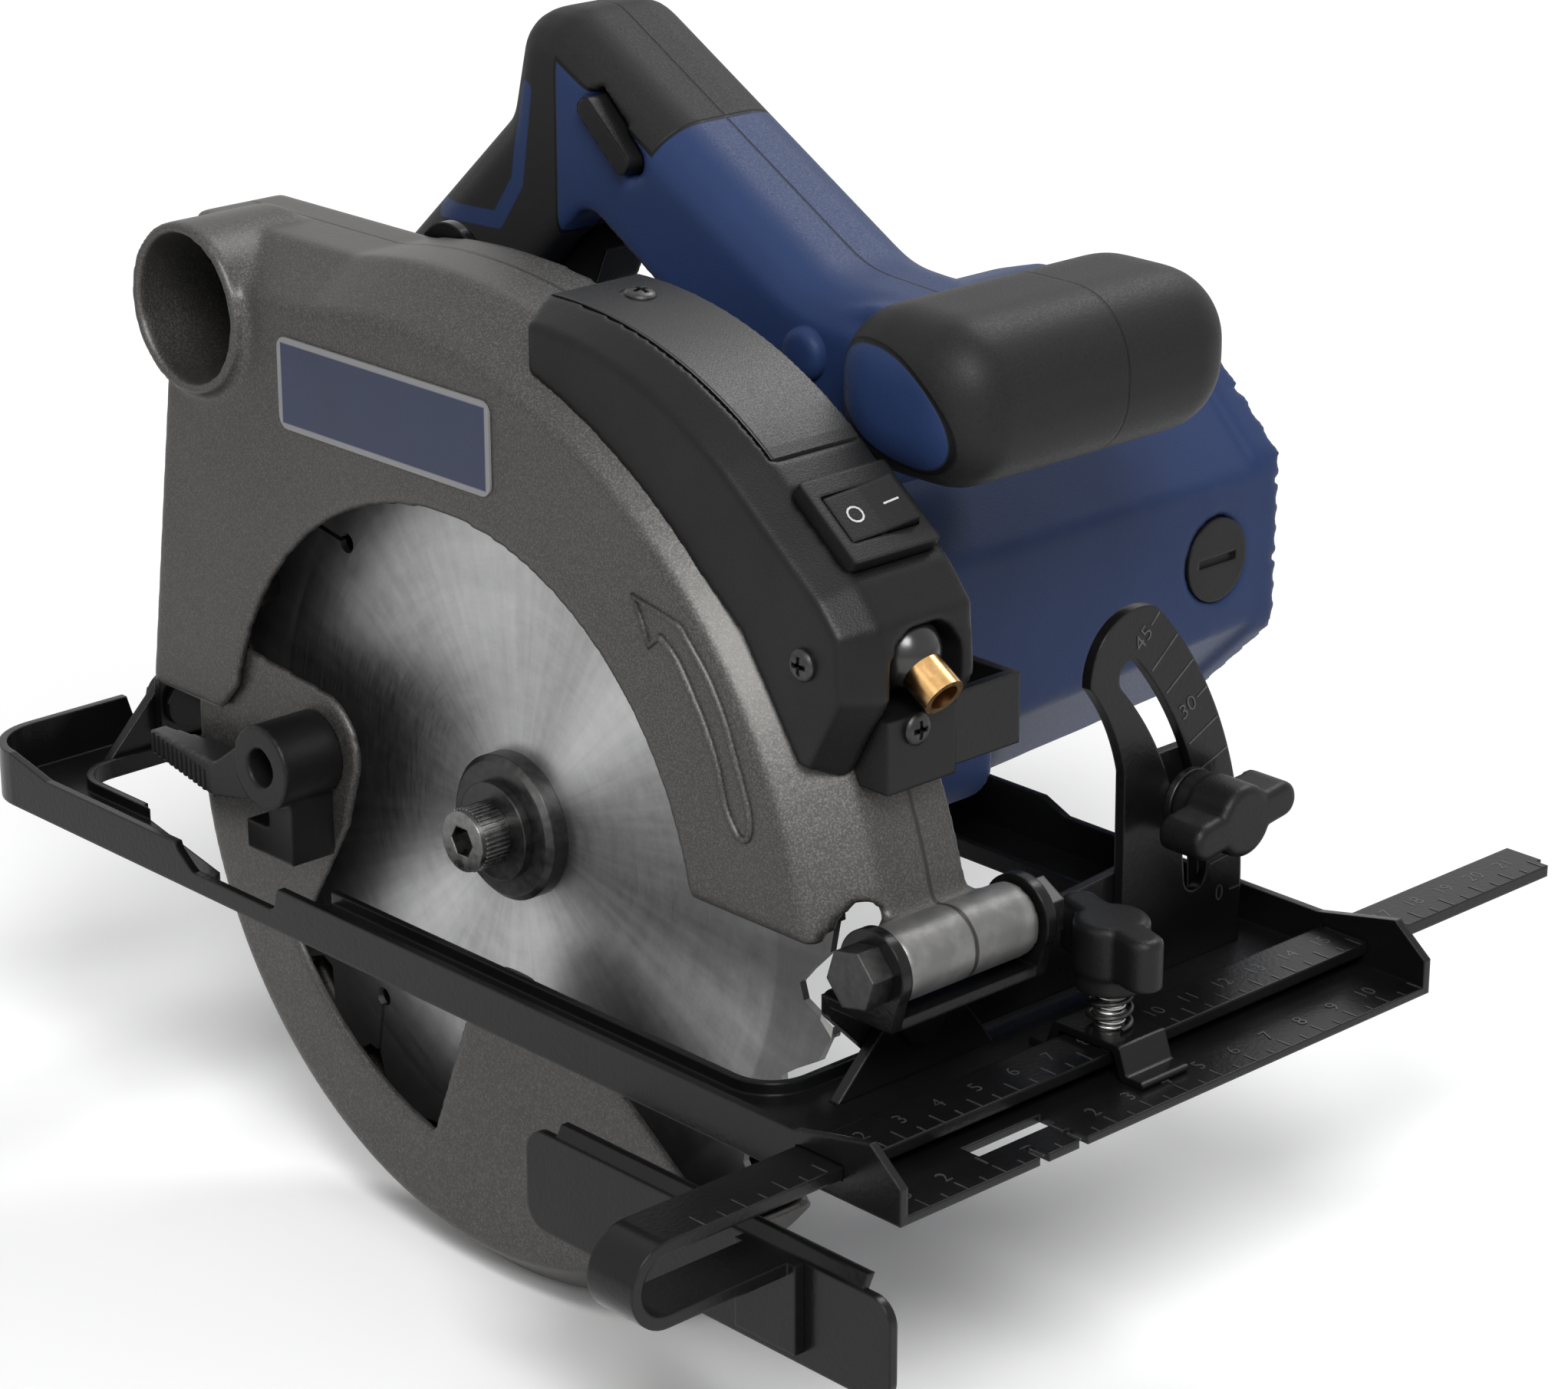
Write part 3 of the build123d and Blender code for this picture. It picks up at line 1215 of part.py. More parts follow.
def handle_mass():
    face = handle_outer()
    half = HANDLE_HALF - HANDLE_EDGE
    body = xz_plate(face, HANDLE_Y - half, HANDLE_Y + half)
    y = HANDLE_Y - half
    for depth, taper in HANDLE_STEPS:
        flank = tapered(face, y, depth, taper)
        body += flank
        body += mirror(flank, Plane((0, HANDLE_Y, 0), z_dir=(0, 1, 0)))
        face = offset(face, -depth * tan(radians(taper)))
        y -= depth
    window = handle_window()
    return body - xz_plate(window, HANDLE_Y - HANDLE_HALF - 1, HANDLE_Y + HANDLE_HALF + 1)


def bridge_mass():
    """Wide bridge from the motor to the front grip."""
    points = ((40.0, -14.0), (44.0, 30.0), (58.0, 34.0), (76.0, 34.0), (76.0, 10.0))
    face = rounded(4.0, *[on_handle(*point) for point in points])
    return xz_plate(face, GRIP_Y0 + 16, GRIP_Y1 - 14)


def cap_zone():
    """Black cap over the apex."""
    points = ((-66.0, 96.0), (-66.0, 59.0), (-40.0, 54.0), (-8.0, 48.0), (4.0, 60.0), (4.0, 96.0))
    return xz_plate(polygon(*[on_handle(*point) for point in points]), 0, 150)


def grip_zone():
    """Soft sleeve of the rear leg."""
    points = ((-130.0, 59.0), (-66.0, 59.0), (-40.0, 54.0), (-35.0, 53.0), (-35.0, 34.0), (-62.0, -4.0), (-130.0, -4.0))
    return xz_plate(polygon(*[on_handle(*point) for point in points]), 0, 150)


def trigger_axis(reach, along):
    """Point on the finger side of the rear leg: reach into the window, along the leg."""
    base = on_handle(-43.0, 21.5)
    return (base[0] + REAR_LEG_IN[0] * reach + 0.69 * along, base[1] + REAR_LEG_IN[1] * reach + 0.72 * along)


def make_trigger():
    face = polygon(
        trigger_axis(-9.0, -13.0),
        trigger_axis(-9.0, 13.0),
        trigger_axis(6.0, 13.0),
        trigger_axis(9.0, 4.0),
        trigger_axis(10.0, -13.0),
    )
    return xz_plate(face, HANDLE_Y - TRIGGER_HALF, HANDLE_Y + TRIGGER_HALF)


def trigger_room():
    half = TRIGGER_HALF + GAP
    room = polygon(
        trigger_axis(-9.0 - TRIGGER_TRAVEL - GAP, -13.0 - GAP),
        trigger_axis(-9.0 - TRIGGER_TRAVEL - GAP, 13.0 + GAP),
        trigger_axis(14.0, 13.0 + GAP),
        trigger_axis(14.0, -13.0 - GAP),
    )
    return xz_plate(room, HANDLE_Y - half, HANDLE_Y + half)


BUTTON_X = -15.0
BUTTON_Z = HANDLE_Z + 56.0
BUTTON_DEG = -41.0
BUTTON_L = 20.0
BUTTON_W = 6.0
BUTTON_DEEP = 7.0


def button_mass(grow, y0, y1):
    face = Pos(BUTTON_X, BUTTON_Z) * Rot(0, 0, BUTTON_DEG) * RectangleRounded(
        BUTTON_L + 2 * grow, BUTTON_W + 2 * grow, 2.4
    )
    return xz_plate(face, y0, y1)


def make_lock_off():
    face_y = HANDLE_Y - HANDLE_HALF
    return button_mass(0.0, face_y - BUTTON_TRAVEL, face_y + BUTTON_DEEP)


def switch_mass():
    return block(-82.0, -64.0, HANDLE_Y - 9, HANDLE_Y + 9, HANDLE_Z + 4, HANDLE_Z + 22)


INLET_X = -88.0
INLET_Z = HANDLE_Z + 8.0
INLET_R = 8.0


def inlet_mass(r, reach):
    return Pos(INLET_X, HANDLE_Y, INLET_Z) * Rot(0, -130, 0) * Pos(0, 0, reach / 2) * Cylinder(r, reach)


def handle_parts():
    """Handle split at its middle plane, with the cap, soft grips, switch and inlet cut out of it."""
    motor = motor_mass(MOTOR_HALF, MOTOR_FACET, CASE_Y, MOTOR_Y)
    body = handle_mass() + bridge_mass() - motor
    grip = grip_mass()
    body -= grip
    body -= trigger_room()
    face_y = HANDLE_Y - HANDLE_HALF
    room = button_mass(GAP, face_y - 5, face_y + BUTTON_DEEP + BUTTON_TRAVEL + GAP)
    body -= room
    body -= switch_mass()
    body -= inlet_mass(INLET_R, 60)
    cap = body & cap_zone()
    sleeve = body & grip_zone()
    body = body - cap_zone() - grip_zone()
    left = body & block(-200, 200, -200, HANDLE_Y, -100, 300)
    right = body & block(-200, 200, HANDLE_Y, 300, -100, 300)
    return left, right, cap, sleeve


def grip_mass():
    """Front grip: rounded bar across the saw."""
    bar = Pos(GRIP_X, (GRIP_Y0 + GRIP_Y1) / 2, GRIP_Z) * Box(GRIP_L, GRIP_Y1 - GRIP_Y0, GRIP_H)
    bar = fillet(bar.edges().filter_by(Axis.Y), GRIP_EDGE)
    bar = fillet(bar.faces().sort_by(Axis.Y)[0].edges(), GRIP_EDGE - 3)
    return fillet(bar.faces().sort_by(Axis.Y)[-1].edges(), GRIP_EDGE - 0.5)


# Laser guide

def on_laser(back, down):
    """Point of the laser guide, measured back from its front and down from its top."""
    return (LASER_X - back, LASER_Z - down)


def laser_profile(grow=0.0):
    """Side outline of the laser housing above the guard."""
    heel = on_laser(93.0, 31.0)
    crown = on_laser(93.0, -grow)
    slope = on_laser(32.0, 18.0 - grow)
    brow = on_laser(6.0 - grow, 38.0 - grow)
    front = on_laser(-grow, 45.0)
    nose = on_laser(-1.0 - grow, 59.0)
    chin = on_laser(9.0, 77.0)
    inner = on_laser(50.0, 77.0)
    return make_face(
        [
            Line(heel, crown),
            ThreePointArc(crown, on_laser(60.0, 4.4 - grow), slope),
            Line(slope, brow),
            Line(brow, front),
            Line(front, nose),
            Line(nose, chin),
            Line(chin, inner),
            Line(inner, heel),
        ]
    )


def laser_edge():
    """Lower line of the laser housing on the guard's bevel."""
    points = (
        (97.0, 13.0), (72.0, 23.4), (48.0, 37.0), (29.4, 51.0), (17.6, 68.0), (12.0, 76.3),
        (-15.0, 76.3), (-15.0, -19.0), (97.0, -19.0),
    )
    return polygon(*[on_laser(*point) for point in points])


def laser_mass():
    face = laser_profile()
    mass = xz_plate(face, LASER_SIDE_Y, LASER_TOP_Y)
    return mass + tapered(face, LASER_SIDE_Y, LASER_FLANK, LASER_TAPER_DEG)


TUBE_DIR = (cos(radians(TUBE_DEG)), sin(radians(TUBE_DEG)))


def tube_mass(r, start, reach):
    x = BALL_X + TUBE_DIR[0] * start
    z = BALL_Z + TUBE_DIR[1] * start
    return Plane((x, LASER_Y, z), z_dir=(TUBE_DIR[0], 0, TUBE_DIR[1])) * Pos(0, 0, reach / 2) * Cylinder(r, reach)


def mouth_face():
    """Arched opening in the nose of the laser housing, in (y, z)."""
    left = LASER_Y - 9.0
    right = LASER_Y + 10.0
    top = BALL_Z + 6.0
    return polygon(
        (left, CLAMP_Z), (right, CLAMP_Z), (right, BALL_Z), (right - 2.5, top - 2.0), (right - 6.0, top),
        (left + 6.0, top), (left + 2.5, top - 2.0), (left, BALL_Z),
    )


def laser_parts():
    """Housing and battery cover of the laser guide, seated on the upper guard."""
    guard = guard_mass(0.0, GUARD_FACE_Y, GUARD_BACK_Y)
    mass = (laser_mass() - guard) & xz_plate(laser_edge(), GUARD_FACE_Y, LASER_TOP_Y + 1)
    mass -= Pos(BALL_X, LASER_Y, BALL_Z) * Sphere(BALL_R)
    mass -= tube_mass(BALL_R, 0.0, 30.0)
    mass -= yz_plate(mouth_face(), BALL_X - BALL_R + 1.5, BALL_X + 20)
    mass -= rocker_box(ROCKER_W + 3 * ROCKER_RIM, ROCKER_L + 2 * ROCKER_RIM, -4.0, 6.0)
    mass -= block(LASER_X - 22, LASER_X + 10, CLAMP_Y0 - GAP, LASER_TOP_Y + 1, CLAMP_Z - 12.5, CLAMP_TOP_Z + GAP)
    lid = xz_plate(laser_profile(), LASER_SIDE_Y + 0.6, LASER_TOP_Y - 1.0)
    lid -= xz_plate(laser_profile(-LASER_WALL), LASER_SIDE_Y, LASER_TOP_Y)
    lid &= block(LASER_X - 92, LASER_X - 30, LASER_SIDE_Y, LASER_TOP_Y, LASER_Z - 26, LASER_Z + 19)
    cover = mass & lid
    return mass - lid, cover


def rocker_plane(height=0.0):
    a = radians(ROCKER_SLOPE)
    normal = (sin(a), 0, cos(a))
    origin = (ROCKER_X + normal[0] * height, LASER_Y, ROCKER_Z + normal[2] * height)
    return Plane(origin, x_dir=(cos(a), 0, -sin(a)), z_dir=normal)


def rocker_box(length, width, low, high):
    return extrude(rocker_plane(low) * RectangleRounded(length, width, 0.8), high - low)


def rocker_pin(r):
    """Pivot of the rocker, down the slope."""
    middle = rocker_plane()
    return Plane(middle.origin, z_dir=middle.x_dir) * Cylinder(r, ROCKER_W + ROCKER_PIN_L)


def make_rocker_frame():
    frame = rocker_box(ROCKER_W + 3 * ROCKER_RIM, ROCKER_L + 2 * ROCKER_RIM, -4.0, 1.2)
    frame -= rocker_box(ROCKER_W + 2 * GAP, ROCKER_L + 2 * ROCKER_GAP, -3.0, 2.0)
    return frame - rocker_pin(ROCKER_PIN_R + RUN_GAP)


def make_rocker():
    """Rocker across the housing, raised on the motor side while it is off."""
    half = ROCKER_L / 2
    face = polygon((-half, -0.8), (half, -0.8), (half, 3.4), (0.0, 1.8), (-half, 0.9))
    middle = rocker_plane()
    across = Plane(middle.origin, x_dir=(0, 1, 0), z_dir=middle.x_dir)
    return extrude(across * face, ROCKER_W / 2, both=True) + rocker_pin(ROCKER_PIN_R)


def make_ball():
    ball = Plane((BALL_X, LASER_Y, BALL_Z), z_dir=(TUBE_DIR[0], 0, TUBE_DIR[1])) * Sphere(BALL_R)
    return ball - tube_mass(TUBE_R + RUN_GAP, -3.0, 30.0)


def make_tube():
    return tube_mass(TUBE_R, -3.0, TUBE_L) - tube_mass(TUBE_R - 1.3, TUBE_L - 12.0, 12.0)


def make_clamp():
    clamp = block(LASER_X - 18, LASER_X, CLAMP_Y0, CLAMP_Y1, CLAMP_Z, CLAMP_TOP_Z)
    return clamp - guard_mass(0.0, GUARD_FACE_Y, GUARD_BACK_Y) - tube_mass(BALL_R, 0.0, 30.0)


def make_bracket():
    y1 = 35.3
    y0 = CLAMP_Y1
    front = LASER_X - 3.0
    plate = block(front - 2.2, front, y0, y1, CLAMP_Z, CLAMP_TOP_Z)
    plate += block(LASER_X - 18, front, y1 - 2.2, y1, CLAMP_Z, CLAMP_TOP_Z)
    return plate - guard_mass(0.0, GUARD_FACE_Y, GUARD_BACK_Y)


# Depth clamp

DEPTH_STUD_X, DEPTH_STUD_Z = about_hinge(RAIL_R, RAIL_LOW_DEG)


def make_depth_stud():
    return y_rod(DEPTH_STUD_R, GUARD_BACK_Y, RAIL_Y + PLATE_T + 9, DEPTH_STUD_X, DEPTH_STUD_Z) + y_rod(
        DEPTH_STUD_R - 1, GUARD_BACK_Y - 1.5, GUARD_BACK_Y, DEPTH_STUD_X, DEPTH_STUD_Z
    )


def make_depth_lever():
    y0 = RAIL_Y + PLATE_T + 0.1
    hub = y_rod(9.0, y0, y0 + 8, DEPTH_STUD_X, DEPTH_STUD_Z)
    arm = Pos(DEPTH_STUD_X - 24, y0 + 5.5, DEPTH_STUD_Z + 8) * Rot(0, 18, 0) * Box(48, 5, 9)
    return hub + arm - y_rod(DEPTH_STUD_R + RUN_GAP, y0 - 1, y0 + 9, DEPTH_STUD_X, DEPTH_STUD_Z)


def main():
    os.makedirs("parts", exist_ok=True)
    handle_left, handle_right, top_cap, rear_grip = handle_parts()
    laser_housing, laser_cover = laser_parts()
    nodes = {
        "shoe_plate": make_shoe(),
        "bevel_quadrant": make_quadrant(),
        "front_gusset": make_gusset(QUADRANT_X),
        "rear_gusset": make_gusset(REAR_GUSSET_X),
        "pivot_rivets": make_rivets(),
        "fence_strap": make_strap(),
        "fence_spring": make_fence_spring(),
        "fence_bar": make_fence_bar(),
        "fence_plate": make_fence_plate(),
        "fence_knob": make_fence_knob(),
        "fence_screw": make_fence_screw(),
        "tilt_bracket": make_tilt_bracket(),
        "depth_rail": make_depth_rail(),
        "hinge_bolt": make_hinge_bolt(),
        "bevel_stud": make_bevel_stud(),
        "bevel_knob": make_bevel_knob(),
        "upper_guard": make_upper_guard(),
        "guard_back": make_guard_back(),
        "lower_guard": make_lower_guard(),
        "guard_lever": make_lever(),
        "guard_spring": make_guard_spring(),
        "saw_blade": make_blade(),
        "tooth_tips": make_tips(),
        "inner_flange": make_inner_flange(),
        "outer_flange": make_outer_flange(),
        "bolt_washer": make_bolt_washer(),
        "blade_bolt": make_blade_bolt(),
        "spindle": make_spindle(),
        "drive_gear": make_drive_gear(),
        "motor_shaft": make_motor_shaft(),
        "armature_core": make_core(),
        "commutator": make_commutator(),
        "fan": make_fan(),
        "gear_case": make_gear_case(),
        "motor_housing": make_motor_housing(),
        "motor_end_cap": make_end_cap(),
        "brush_caps": make_brush_caps(),
        "brush_holders": make_brush_holders(),
        "brushes": make_brushes(),
        "stator": make_stator(),
        "bearings": make_bearings(),
        "handle_left": handle_left,
        "handle_right": handle_right,
        "top_cap": top_cap,
        "rear_grip": rear_grip,
        "front_grip": grip_mass(),
        "trigger": make_trigger(),
        "lock_off_button": make_lock_off(),
        "switch_block": switch_mass(),
        "cable_inlet": inlet_mass(INLET_R, 20),
        "laser_housing": laser_housing,
        "laser_cover": laser_cover,
        "rocker_frame": make_rocker_frame(),
        "laser_rocker": make_rocker(),
        "laser_seat": make_ball(),
        "laser_tube": make_tube(),
        "laser_clamp": make_clamp(),
        "laser_bracket": make_bracket(),
        "depth_stud": make_depth_stud(),
        "depth_lever": make_depth_lever(),
    }
    for name, shape in nodes.items():
        export_step(shape, f"parts/{name}.step")


main()
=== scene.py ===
import math

import bmesh
import bpy
from mathutils import Euler, Matrix, Vector


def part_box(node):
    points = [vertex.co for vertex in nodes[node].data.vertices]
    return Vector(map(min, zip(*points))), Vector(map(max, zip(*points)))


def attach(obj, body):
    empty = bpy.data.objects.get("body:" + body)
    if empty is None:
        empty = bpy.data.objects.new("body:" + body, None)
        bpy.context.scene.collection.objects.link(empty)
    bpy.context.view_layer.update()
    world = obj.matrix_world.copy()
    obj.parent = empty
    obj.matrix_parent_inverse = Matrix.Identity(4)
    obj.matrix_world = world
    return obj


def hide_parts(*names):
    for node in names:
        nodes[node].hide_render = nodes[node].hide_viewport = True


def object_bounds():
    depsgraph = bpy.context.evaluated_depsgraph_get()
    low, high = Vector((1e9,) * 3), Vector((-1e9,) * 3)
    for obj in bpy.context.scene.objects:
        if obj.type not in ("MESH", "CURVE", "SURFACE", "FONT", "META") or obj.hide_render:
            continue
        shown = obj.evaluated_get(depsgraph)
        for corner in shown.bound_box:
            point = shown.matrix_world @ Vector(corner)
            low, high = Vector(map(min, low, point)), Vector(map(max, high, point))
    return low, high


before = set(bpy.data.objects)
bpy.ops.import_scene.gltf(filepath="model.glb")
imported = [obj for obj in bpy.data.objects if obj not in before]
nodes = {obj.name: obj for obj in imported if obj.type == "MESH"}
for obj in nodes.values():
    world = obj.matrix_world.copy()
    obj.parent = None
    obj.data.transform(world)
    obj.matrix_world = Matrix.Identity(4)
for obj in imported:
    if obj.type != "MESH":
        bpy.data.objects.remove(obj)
cad_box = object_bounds()


# Shoe: one stamping of sheet steel with a folded rim, under satin black paint.
# The paint has a fine orange peel. Its front edge carries a stamped
# centimetre scale that counts both ways from the cutting line.
class Sock:
    """A shader socket that takes part in sums; node() adds the next node of its tree."""

    def __init__(self, tree, out):
        self.tree = tree
        self.out = out

    def node(self, kind, *values, pick=0, named=None, **settings):
        made = self.tree.nodes.new("ShaderNode" + kind)
        for key, value in settings.items():
            setattr(made, key, value)
        for key, value in list(enumerate(values)) + list((named or {}).items()):
            if isinstance(value, Sock):
                self.tree.links.new(value.out, made.inputs[key])
            elif value is not None:
                made.inputs[key].default_value = value
        return Sock(self.tree, made.outputs[pick])

    def maths(self, operation, *others):
        return self.node("Math", self, *others, operation=operation)

    def __add__(self, other):
        return self.maths("ADD", other)

    def __sub__(self, other):
        return self.maths("SUBTRACT", other)

    def __rsub__(self, other):
        return self.node("Math", other, self, operation="SUBTRACT")

    def __mul__(self, other):
        return self.maths("MULTIPLY", other)

    def __truediv__(self, other):
        return self.maths("DIVIDE", other)

    def __pow__(self, other):
        return self.maths("POWER", other)

    __radd__ = __add__
    __rmul__ = __mul__

    def axis(self, name):
        return self.node("SeparateXYZ", self, pick="XYZ".index(name))

    def noise(self, scale, detail=2.0, rough=0.5):
        return self.node("TexNoise", named={"Vector": self, "Scale": scale, "Detail": detail, "Roughness": rough})

    def step(self, low, high, out_low=0.0, out_high=1.0):
        return self.node("MapRange", self, low, high, out_low, out_high)

    def mix(self, low, high):
        """Colour from low to high as this value goes from 0 to 1."""
        made = self.node("Mix", named={"Factor": self}, data_type="RGBA")
        inputs = made.out.node.inputs
        for socket, value in zip((inputs[6], inputs[7]), (low, high)):
            if isinstance(value, Sock):
                self.tree.links.new(value.out, socket)
            else:
                socket.default_value = (*value, 1.0)
        return Sock(self.tree, made.out.node.outputs[2])

    def bump(self, strength, distance, normal=None):
        return self.node("Bump", named={"Height": self, "Strength": strength, "Distance": distance, "Normal": normal})


def material(name, paint, **constants):
    """New material: paint(coordinates) returns the sockets that vary, constants the rest."""
    made = bpy.data.materials.new(name)
    made.use_nodes = True
    tree = made.node_tree
    surface = tree.nodes["Principled BSDF"]
    for key, value in constants.items():
        surface.inputs[key.replace("_", " ")].default_value = value
    where = Sock(tree, tree.nodes.new("ShaderNodeTexCoord").outputs["Object"])
    for key, value in paint(where).items():
        tree.links.new(value.out, surface.inputs[key.replace("_", " ")])
    return made


def wear(made, *names):
    """Give a material to CAD nodes that keep their shape."""
    for name in names:
        nodes[name].data.materials.clear()
        nodes[name].data.materials.append(made)


def place(name, mesh, body, made=None, smooth=False):
    """Link a finished mesh, dress it and let it ride on its body."""
    piece = bpy.data.objects.new(name, mesh)
    bpy.context.scene.collection.objects.link(piece)
    if made:
        mesh.materials.clear()
        mesh.materials.append(made)
    mesh.polygons.foreach_set("use_smooth", [smooth] * len(mesh.polygons))
    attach(piece, body)
    return piece


def worked_out(holder):
    """Plain mesh of a curve, a text or an object with modifiers, which is then removed."""
    bpy.context.scene.collection.objects.link(holder)
    mesh = bpy.data.meshes.new_from_object(holder.evaluated_get(bpy.context.evaluated_depsgraph_get()))
    bpy.data.objects.remove(holder)
    return mesh


def as_mesh(name, built):
    """Mesh of what was built in a bmesh, which is then freed."""
    mesh = bpy.data.meshes.new(name)
    built.to_mesh(mesh)
    built.free()
    return mesh


def black_paint(where):
    peel = where.noise(900.0, 2.0)
    cloud = where.noise(35.0, 3.0)
    edge = where.node("Bevel", 0.0007, samples=4)
    return {
        "Base_Color": cloud.step(0.3, 0.7).mix((0.003, 0.003, 0.0032), (0.005, 0.005, 0.0053)),
        "Roughness": cloud.step(0.3, 0.7, 0.23, 0.31),
        "Normal": peel.bump(0.12, 0.0004, edge),
    }


paint = material("black_paint", black_paint, Specular_IOR_Level=0.2)
wear(paint, "shoe_plate", "bevel_quadrant", "front_gusset", "rear_gusset", "fence_strap")


# Stamped marks: raised marks in a black lighter than the paint; the lighter tone is a painted highlight on the
# stamping.
def stamped(where):
    cloud = where.noise(400.0, 2.0)
    return {"Base_Color": cloud.step(0.3, 0.7).mix((0.022, 0.022, 0.023), (0.045, 0.045, 0.046))}


mark_highlight = material("stamped_mark_highlight", stamped, Roughness=0.25, Specular_IOR_Level=0.4)


class Pattern:
    """Geometry node tree with named sizes; part() adds a node, mesh() works the tree out."""

    def __init__(self, name, points=None):
        self.group = bpy.data.node_groups.new(name, "GeometryNodeTree")
        self.group.interface.new_socket("Geometry", in_out="INPUT", socket_type="NodeSocketGeometry")
        self.group.interface.new_socket("Geometry", in_out="OUTPUT", socket_type="NodeSocketGeometry")
        self.entry = self.group.nodes.new("NodeGroupInput")
        self.leave = self.group.nodes.new("NodeGroupOutput")
        self.points = points or bpy.data.meshes.new(name)
        self.sizes = {}

    def size(self, name, value):
        kind = {int: "Int", float: "Float", tuple: "Vector"}[type(value)]
        socket = self.group.interface.new_socket(name, in_out="INPUT", socket_type="NodeSocket" + kind)
        self.sizes[socket.identifier] = value
        return self.entry.outputs[name]

    def part(self, kind, links, pick=0, **settings):
        made = self.group.nodes.new(kind)
        for key, value in settings.items():
            setattr(made, key, value)
        for key, value in links.items():
            if isinstance(value, bpy.types.NodeSocket):
                self.group.links.new(value, made.inputs[key])
            else:
                made.inputs[key].default_value = value
        return made.outputs[pick]

    def mesh(self, geometry, made):
        solid = self.part("GeometryNodeRealizeInstances", {0: geometry})
        dressed = self.part("GeometryNodeSetMaterial", {0: solid, "Material": made})
        self.group.links.new(dressed, self.leave.inputs[0])
        carrier = bpy.data.objects.new(self.group.name, self.points)
        maker = carrier.modifiers.new("pattern", "NODES")
        maker.node_group = self.group
        for identifier, value in self.sizes.items():
            maker[identifier] = value
        return worked_out(carrier)


def scale_ticks(name, count, start, pitch, length):
    """Row of ticks along Y, every second one longer, all from the same edge."""
    row = Pattern(name)
    long = row.size("Length", length)
    bar = row.part("GeometryNodeMeshCube", {"Size": (1.0, 0.00035, 0.00024)})
    bar = row.part("GeometryNodeTransform", {0: bar, "Translation": (-0.5, 0.0, 0.0)})
    line = row.part(
        "GeometryNodeMeshLine",
        {"Count": row.size("Count", count), "Start Location": row.size("Start", start), "Offset": (0.0, pitch, 0.0)},
    )
    odd = row.part("ShaderNodeMath", {0: row.part("GeometryNodeInputIndex", {}), 1: 2.0}, operation="MODULO")
    less = row.part("ShaderNodeMath", {0: odd, 1: -0.45, 2: 1.0}, operation="MULTIPLY_ADD")
    reach = row.part("ShaderNodeMath", {0: less, 1: long}, operation="MULTIPLY")
    stretch = row.part("ShaderNodeCombineXYZ", {0: reach, 1: 1.0, 2: 1.0})
    ticks = row.part("GeometryNodeInstanceOnPoints", {"Points": line, "Instance": bar, "Scale": stretch})
    return row.mesh(ticks, mark_highlight)


def figures(words, height, deep):
    """One mesh of raised figures; each word has the matrix of its middle."""
    merged = bmesh.new()
    for word, spot in words:
        curve = bpy.data.curves.new("figure", "FONT")
        curve.body = word
        curve.size = height / 0.7
        curve.extrude = deep
        curve.offset = -0.015 * height
        curve.resolution_u = 3
        curve.align_x = "CENTER"
        curve.align_y = "CENTER"
        mesh = worked_out(bpy.data.objects.new("figure", curve))
        mesh.transform(spot)
        merged.from_mesh(mesh)
    return as_mesh("figures", merged)


from_front = Matrix.Rotation(math.radians(90.0), 4, "Z")
shoe_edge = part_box("shoe_plate")[1].x
sheet_z = 0.0016
half_centimetre = 0.005
tick_inset = 0.0003
figure_height = 0.0034
stamp_deep = 0.00018
ticks = scale_ticks("shoe_ticks", 29, (shoe_edge - tick_inset, -0.03, sheet_z), half_centimetre, 0.0035)
place("shoe_ticks", ticks, "shoe")
centimetres = [
    (str(abs(k)), Matrix.Translation((shoe_edge - 0.0064, 0.01 * k, sheet_z)) @ from_front)
    for k in range(-3, 11)
    if k
]
place("shoe_figures", figures(centimetres, figure_height, stamp_deep), "shoe", mark_highlight)


# Fence: flat bar in the same paint with its own scale, the plate it guides with,
# and the winged screw that clamps it, with a bright thread and a coil spring.
wear(paint, "fence_bar", "fence_plate")
bar_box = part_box("fence_bar")
bar_top = bar_box[1].z
bar_edge = bar_box[1].x - 0.002
ticks = scale_ticks("bar_ticks", 49, (bar_edge - tick_inset, -0.071, bar_top), half_centimetre, 0.004)
place("bar_ticks", ticks, "fence")
centimetres = [
    (str(k), Matrix.Translation((bar_edge - 0.0068, 0.01 * k - 0.046, bar_top)) @ from_front) for k in range(1, 22)
]
bar_deep = 0.00005
place("bar_figures", figures(centimetres, figure_height, bar_deep), "fence", mark_highlight)


def black_plastic(where):
    grain = where.noise(2600.0, 2.0)
    cloud = where.noise(60.0, 2.0)
    edge = where.node("Bevel", 0.0009, samples=4)
    return {
        "Base_Color": cloud.step(0.3, 0.7).mix((0.0045, 0.0045, 0.0048), (0.007, 0.007, 0.0073)),
        "Roughness": grain.step(0.3, 0.7, 0.34, 0.46),
        "Normal": grain.bump(0.22, 0.00025, edge),
    }


plastic = material("black_plastic", black_plastic, Specular_IOR_Level=0.18)


def zinc(where):
    cloud = where.noise(300.0, 3.0)
    return {
        "Base_Color": cloud.step(0.3, 0.7).mix((0.34, 0.34, 0.33), (0.48, 0.48, 0.46)),
        "Roughness": cloud.step(0.3, 0.7, 0.22, 0.38),
    }


steel = material("zinc", zinc, Metallic=1.0)


def dark_steel(where):
    cloud = where.noise(500.0, 3.0)
    edge = where.node("Bevel", 0.0005, samples=4)
    return {
        "Base_Color": cloud.step(0.3, 0.7).mix((0.035, 0.035, 0.035), (0.06, 0.06, 0.059)),
        "Roughness": cloud.step(0.3, 0.7, 0.3, 0.42),
        "Normal": cloud.bump(0.05, 0.0003, edge),
    }


black_steel = material("black_steel", dark_steel, Metallic=0.9)


